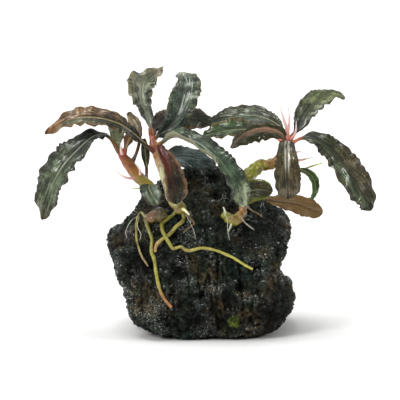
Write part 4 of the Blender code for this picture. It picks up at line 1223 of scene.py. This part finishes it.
# %% [markdown]
# ## Pink sheaths
# A thin pink sheath wraps each young leaf and dries to a pale point when the leaf has opened. It
# could be a flat card with a picture of a blade on it. A flattened, tapering tube with a
# lengthwise bend is nearly as light, has two real sides, and catches the light at its edges.
# %% Sheaths
Sheath = namedtuple("Sheath", "name stem points radius")
SHEATHS = (
    Sheath(
        "sheath_right_top_long", "stem_right",
        ((18.9, -6.2, 43.2), (18.8, -6.4, 45.2), (17.9, -6.6, 48), (17, -6.5, 51)), 0.4,
    ),
    Sheath(
        "sheath_right_top_short", "stem_right",
        ((19, -5.6, 41.9), (19.1, -4, 44), (19.3, -4.2, 47.5), (19.1, -4.6, 50.5)), 0.28,
    ),
    Sheath(
        "sheath_right_brown", "stem_right",
        ((19.3, -6.1, 42.8), (20.5, -6.7, 44.5), (20.7, -7.2, 47.3)), 0.32,
    ),
    Sheath(
        "sheath_right_side", "stem_right",
        ((18.2, -5, 38.6), (21, -6.6, 38.7), (24.5, -7.4, 39.5)), 0.45,
    ),
    Sheath(
        "sheath_right_side_short", "stem_right",
        ((18.6, -5, 40.3), (20.6, -6.4, 40.4), (22, -7, 40.8)), 0.32,
    ),
    Sheath(
        "sheath_left_low", "stem_left_side_shoot",
        ((-13.4, -8, 34.8), (-16, -10, 35.4), (-19, -9.8, 37.4)), 0.33,
    ),
    Sheath(
        "sheath_left_inner", "stem_left_side_shoot",
        ((-13, -7.8, 35), (-12.9, -9.3, 36.8), (-14, -9.6, 38.7)), 0.3,
    ),
    Sheath(
        "sheath_left_top", "stem_left_side_shoot",
        ((-16.6, -6.8, 39.4), (-17, -8.5, 41.2), (-17, -9, 42.8)), 0.33,
    ),
)
SHEATH_STEP = 0.15
SHEATH_SIDES = 24
SHEATH_FLATNESS = 0.35
SHEATH_TIP = 0.04
SHEATH_TAPER = 1.6
SHEATH_BUMPS = 0.15


def sheath_finish(name):
    film = Finish(name)
    part, far, turn = film.attribute("tube_place")
    lines = film.noise(film.point(part * 2, turn * 26, far * 0.2), 1.0, 2.0)
    color = film.mix(part.step(0.05, 0.5), tone(224, 142, 126), tone(246, 208, 204))
    color = film.mix(part.step(0.5, 0.9), color, tone(248, 232, 222))
    color = film.mix(lines.step(0.5, 0.7) * 0.4, color, tone(196, 96, 96))
    return film.surface(
        Base_Color=color, Roughness=0.3 + 0.2 * lines, Normal=film.bump(lines, 0.04),
        Subsurface_Weight=0.25, Subsurface_Scale=0.001,
    )


def make_sheath(sheath, finish):
    points = out_of_stem(sheath.stem, sheath.points)
    line = smooth(points, round(length_of(points) / SHEATH_STEP))
    part = np.linspace(0.0, 1.0, len(line))
    radii = sheath.radius * (1 - part ** SHEATH_TAPER) + SHEATH_TIP
    rings = tube_rings(line, radii, SHEATH_SIDES, SHEATH_BUMPS)
    middle = line[:, None, :]
    side = unit(TUBE_SIDE)
    depth = ((rings - middle) * side).sum(axis=2, keepdims=True) * (1 - SHEATH_FLATNESS)
    rings = rings - depth * side * ease(part * 4)[:, None, None]
    mesh = ring_mesh(sheath.name + "_film", rings, {"tube_place": tube_place(line, SHEATH_SIDES)})
    return add_piece(sheath.name + "_film", mesh, finish, "sheath", sheath.name)


pink_film = sheath_finish("pink_film")
print("sheaths:", [make_sheath(sheath, pink_film).name for sheath in SHEATHS])

# %% [markdown]
# ## Roots
# Living roots creep over the stone and cling to it: yellow-green, knobbly, with tan or orange
# ends. A shrinkwrap modifier could lay curves on the stone. Here each route is given as it is
# seen from the front, and rays find the fine stone behind it. A root is stiff, so it
# bridges small hollows: it follows the crests of the stone and not every pit.
# %% Roots on the stone
Root = namedtuple("Root", "name stem places lift radius tip tones")
ROOTS = (
    Root(
        "root_left_outer", "stem_left_stub",
        ((-12.6, 26.9), (-13.5, 26), (-13.8, 23.8), (-13.4, 21), (-12.5, 18.6), (-11, 16.2)),
        0, 0.34, 0.22, ((110, 112, 36), (130, 126, 56), (150, 134, 96)),
    ),
    Root(
        "root_left_down", "stem_left_stub",
        ((-11.7, 26), (-11.2, 24.6), (-10.3, 22.3), (-10.4, 19.9), (-9.8, 18), (-9.3, 14.6),
         (-8.6, 11.7), (-7.9, 10), (-6.1, 7.7)),
        0, 0.46, 0.3, ((98, 96, 34), (148, 144, 56), (160, 104, 60)),
    ),
    Root(
        "root_long_across", "stem_left",
        ((-5.6, 27.5), (-7.7, 26.1), (-8.2, 25), (-7.3, 23), (-6, 20.9), (-5.4, 20.4), (-4.3, 21),
         (-2.5, 20.2), (-0.1, 20.7), (2.2, 20.5), (4.6, 19.7), (6.9, 18.7), (8.8, 17.6),
         (11.2, 16.1)),
        1, 0.42, 0.27, ((116, 116, 36), (144, 136, 60), (172, 168, 76)),
    ),
    Root(
        "root_crossing", "stem_left",
        ((-3.4, 27), (-4, 26), (-5.1, 25.2), (-6.3, 23.7), (-8.5, 22.1), (-9.5, 20.8),
         (-9.6, 19.6)),
        0, 0.42, 0.36, ((122, 120, 42), (146, 138, 54), (168, 128, 86)),
    ),
    Root(
        "root_brown_short", "stem_left", ((-1.2, 26.2), (-2, 25.2), (-3.6, 24)),
        0, 0.3, 0.2, ((84, 64, 42),) * 3,
    ),
    Root(
        "root_right_down", "stem_right", ((6.6, 25.2), (6, 24.1)),
        0, 0.28, 0.15, ((196, 200, 150), (214, 216, 190), (226, 226, 214)),
    ),
    Root(
        "root_right_tan", "stem_right", ((11.3, 27.3), (12.2, 27), (13.5, 26)),
        0, 0.3, 0.2, ((122, 96, 44), (132, 104, 60), (142, 116, 84)),
    ),
    Root(
        "root_right_grey", "stem_right", ((9.3, 25.8), (10.5, 25), (11.7, 24)),
        0, 0.25, 0.15, ((84, 76, 60), (96, 88, 74), (104, 96, 84)),
    ),
)
ROOT_CROSSING_PLACE = np.array((-7.4, 22.5))
ROOT_CROSSING_HEIGHT = 0.9
ROOT_CROSSING_REACH = 2.2
ROOT_CROSSING_EDGE = 1.6
ROOT_STEP = 0.16
ROOT_SIDES = 20
ROOT_END = 0.1
CREST_SPAN = 4
SUNK_SHARE = 0.55
IN_FRONT = -0.06
JOIN_STRIDE = 6
JOIN_POINTS = 10
ROOT_BUMPS = 0.3


def on_front(x, z):
    """How far back the fine stone's front is, in millimetres, seen at this place."""
    hit = fine_stone.ray_cast(Vector((x * MM, IN_FRONT, z * MM)), Vector((0, 1, 0)))[0]
    return hit.y / MM


def spread(values, span, chosen):
    """Each value replaced by `chosen`, such as the mean, of its neighbours."""
    padded = np.pad(values, span, mode="edge")
    return np.array([chosen(padded[index:index + 2 * span + 1]) for index in range(len(values))])


def root_line(places, lift, radii):
    flat = smooth([(x, 0.0, z) for x, z in places], len(radii))
    depth = np.array([on_front(x, z) for x, _, z in flat])
    depth = spread(spread(depth, CREST_SPAN, np.min), CREST_SPAN, np.mean)
    near = np.linalg.norm(flat[:, [0, 2]] - ROOT_CROSSING_PLACE, axis=1) / ROOT_CROSSING_REACH
    hump = lift * ROOT_CROSSING_HEIGHT * ease(ROOT_CROSSING_EDGE - near)
    flat[:, 1] = depth - SUNK_SHARE * radii - hump
    return flat


def from_stem(line, stem):
    """Lets a root's line start inside its stem, wherever that is nearest."""
    start = nearest_on(stem_lines[stem], line[0])
    return smooth([start, *line[1::JOIN_STRIDE], line[-1]], len(line) + JOIN_POINTS)


def root_finish(name, tones):
    bark = Finish(name)
    part, _, _ = bark.attribute("tube_place")
    where = bark.place()
    blotch = bark.noise(where, 0.6, 3.0)
    fine = bark.noise(where, 3.5, 4.0, 0.6)
    shifted = part + 0.25 * (blotch - 0.5)
    color = bark.mix(shifted.step(0.0, 0.5), tone(*tones[0]), tone(*tones[1]))
    color = bark.mix(shifted.step(0.6, 0.95), color, tone(*tones[2]))
    color = bark.shade(color, 0.55 + 1.25 * fine)
    color = bark.mix(blotch.step(0.52, 0.66) * 0.6, color, tone(104, 78, 40))
    # Pale specks on the fine noise: painted highlights.
    color = bark.mix(fine.step(0.56, 0.68) * 0.4, color, tone(196, 190, 120))
    rough = 0.3 + 0.25 * fine
    return bark.surface(
        Base_Color=color, Roughness=rough, Normal=bark.bump(fine, 0.12), Coat_Weight=0.3,
        Coat_Roughness=0.15,
    )


def tube_end(radii):
    """Radii that close in a rounded tip."""
    count = len(radii)
    room = (count - 1 - np.arange(count)) * ROOT_STEP / radii[-1]
    return radii * rounded(room, ROOT_END)


def add_root(name, line, radii, tones, *nodes):
    radii = tube_end(np.interp(np.linspace(0, 1, len(line)), np.linspace(0, 1, len(radii)), radii))
    rings = tube_rings(line, radii, ROOT_SIDES, ROOT_BUMPS, len(name))
    mesh = ring_mesh(name + "_skin", rings, {"tube_place": tube_place(line, ROOT_SIDES)})
    return add_piece(name + "_skin", mesh, root_finish(name + "_skin", tones), "root", *nodes)


def make_root(root):
    count = round(length_of([(x, 0.0, z) for x, z in root.places]) / ROOT_STEP)
    radii = np.linspace(root.radius, root.tip, count)
    line = from_stem(root_line(root.places, root.lift, radii), root.stem)
    return add_root(root.name, line, radii, root.tones, root.name)


print("roots:", [make_root(root).name for root in ROOTS])

# %% [markdown]
# ## Roots in the air
# A few young roots haven't found the stone yet and stand free of it, pale and thin. Rays would
# find nothing behind them, so their points are given in space, and the same skin goes round them.
# %% Roots that stand free of the stone
FreeRoot = namedtuple("FreeRoot", "name stem points radius tip tones")
FREE_ROOTS = (
    FreeRoot(
        "root_stub_left", "stem_left",
        ((-5, -12, 29), (-3.2, -14.3, 28.9), (-2.2, -14.6, 27.9)),
        0.35, 0.25, ((176, 176, 100), (206, 206, 150), (222, 222, 180)),
    ),
    FreeRoot(
        "root_stub_right", "stem_right",
        ((5.8, -12, 28.5), (5.2, -13.6, 28.9), (4.9, -14, 29.6)),
        0.3, 0.15, ((170, 170, 90), (214, 214, 180), (230, 230, 214)),
    ),
    FreeRoot(
        "root_tip_left", "stem_left_side_shoot",
        ((-11.2, -8, 33.5), (-12.8, -9.6, 33), (-14.7, -10.2, 33)),
        0.22, 0.12, ((150, 150, 70), (186, 186, 120), (210, 210, 160)),
    ),
    FreeRoot(
        "root_free_right", "stem_right",
        ((16, -4, 38), (18.8, -3.6, 36.5), (22.3, -4.8, 36.6), (24.5, -5.6, 37.4),
         (26.6, -6.2, 38.1)),
        0.32, 0.16, ((176, 180, 80), (198, 204, 110), (214, 218, 140)),
    ),
)


def make_free_root(root):
    points = out_of_stem(root.stem, root.points)
    line = smooth(points, round(length_of(points) / ROOT_STEP))
    radii = np.linspace(root.radius, root.tip, len(line))
    return add_root(root.name, line, radii, root.tones, root.name)


print("free roots:", [make_free_root(root).name for root in FREE_ROOTS])

# %% [markdown]
# ## Hair roots
# The finest roots are pale hairs a tenth of a millimetre thick. Particle hair could scatter them,
# but few are seen, so each is a thin tube with a route of its own. No solid is as thin as that,
# so the hairs stand for none: they just ride with the frame.
# %% Hair roots
HAIR_RADIUS = 0.05
HAIR_STEP = 0.3
HAIR_SIDES = 8
HAIRS = (
    ((-13.9, -10.4, 27.4), (-15.6, -10.6, 27.9), (-17.6, -10.2, 26.6), (-18.8, -9.6, 24.6)),
    ((-13.6, -10.8, 27), (-14.8, -11.8, 26.2), (-15.9, -12, 24), (-15.6, -12.4, 22.6)),
    ((-13.4, -10.4, 27.7), (-14.6, -11.2, 28.6), (-16.2, -11, 28.2), (-17.6, -10.4, 26.9)),
    ((-12.9, -11, 27.2), (-13.4, -12.8, 25.4), (-12.6, -13.8, 23.6), (-12.9, -14, 22.4)),
    ((5.2, -12.6, 28.4), (5.8, -14, 26.6), (5.9, -14.4, 24.6), (6.3, -14.2, 22.4)),
    ((8.2, -12.6, 28), (9.4, -13.6, 26.4), (10.6, -13.8, 25.2), (11.6, -13.6, 24.6)),
    ((-3.1, -12.6, 27.8), (-2.1, -14.2, 26.2), (-1.2, -14.8, 24.2), (-1, -14.6, 22.6)),
)


def make_hair(row, points, finish):
    line = smooth(points, round(length_of(points) / HAIR_STEP))
    swell = np.sin(np.linspace(0.2, math.pi - 0.1, len(line)))
    rings = tube_rings(line, HAIR_RADIUS * (0.4 + 0.6 * swell), HAIR_SIDES)
    mesh = ring_mesh(f"hair_root_{row}", rings, {"tube_place": tube_place(line, HAIR_SIDES)})
    return add_piece(f"hair_root_{row}", mesh, finish, "root")


hair_finish = root_finish("pale_hair", ((196, 196, 176), (214, 214, 198), (222, 222, 210)))
print("hair roots:", [make_hair(row, points, hair_finish).name for row, points in enumerate(HAIRS)])
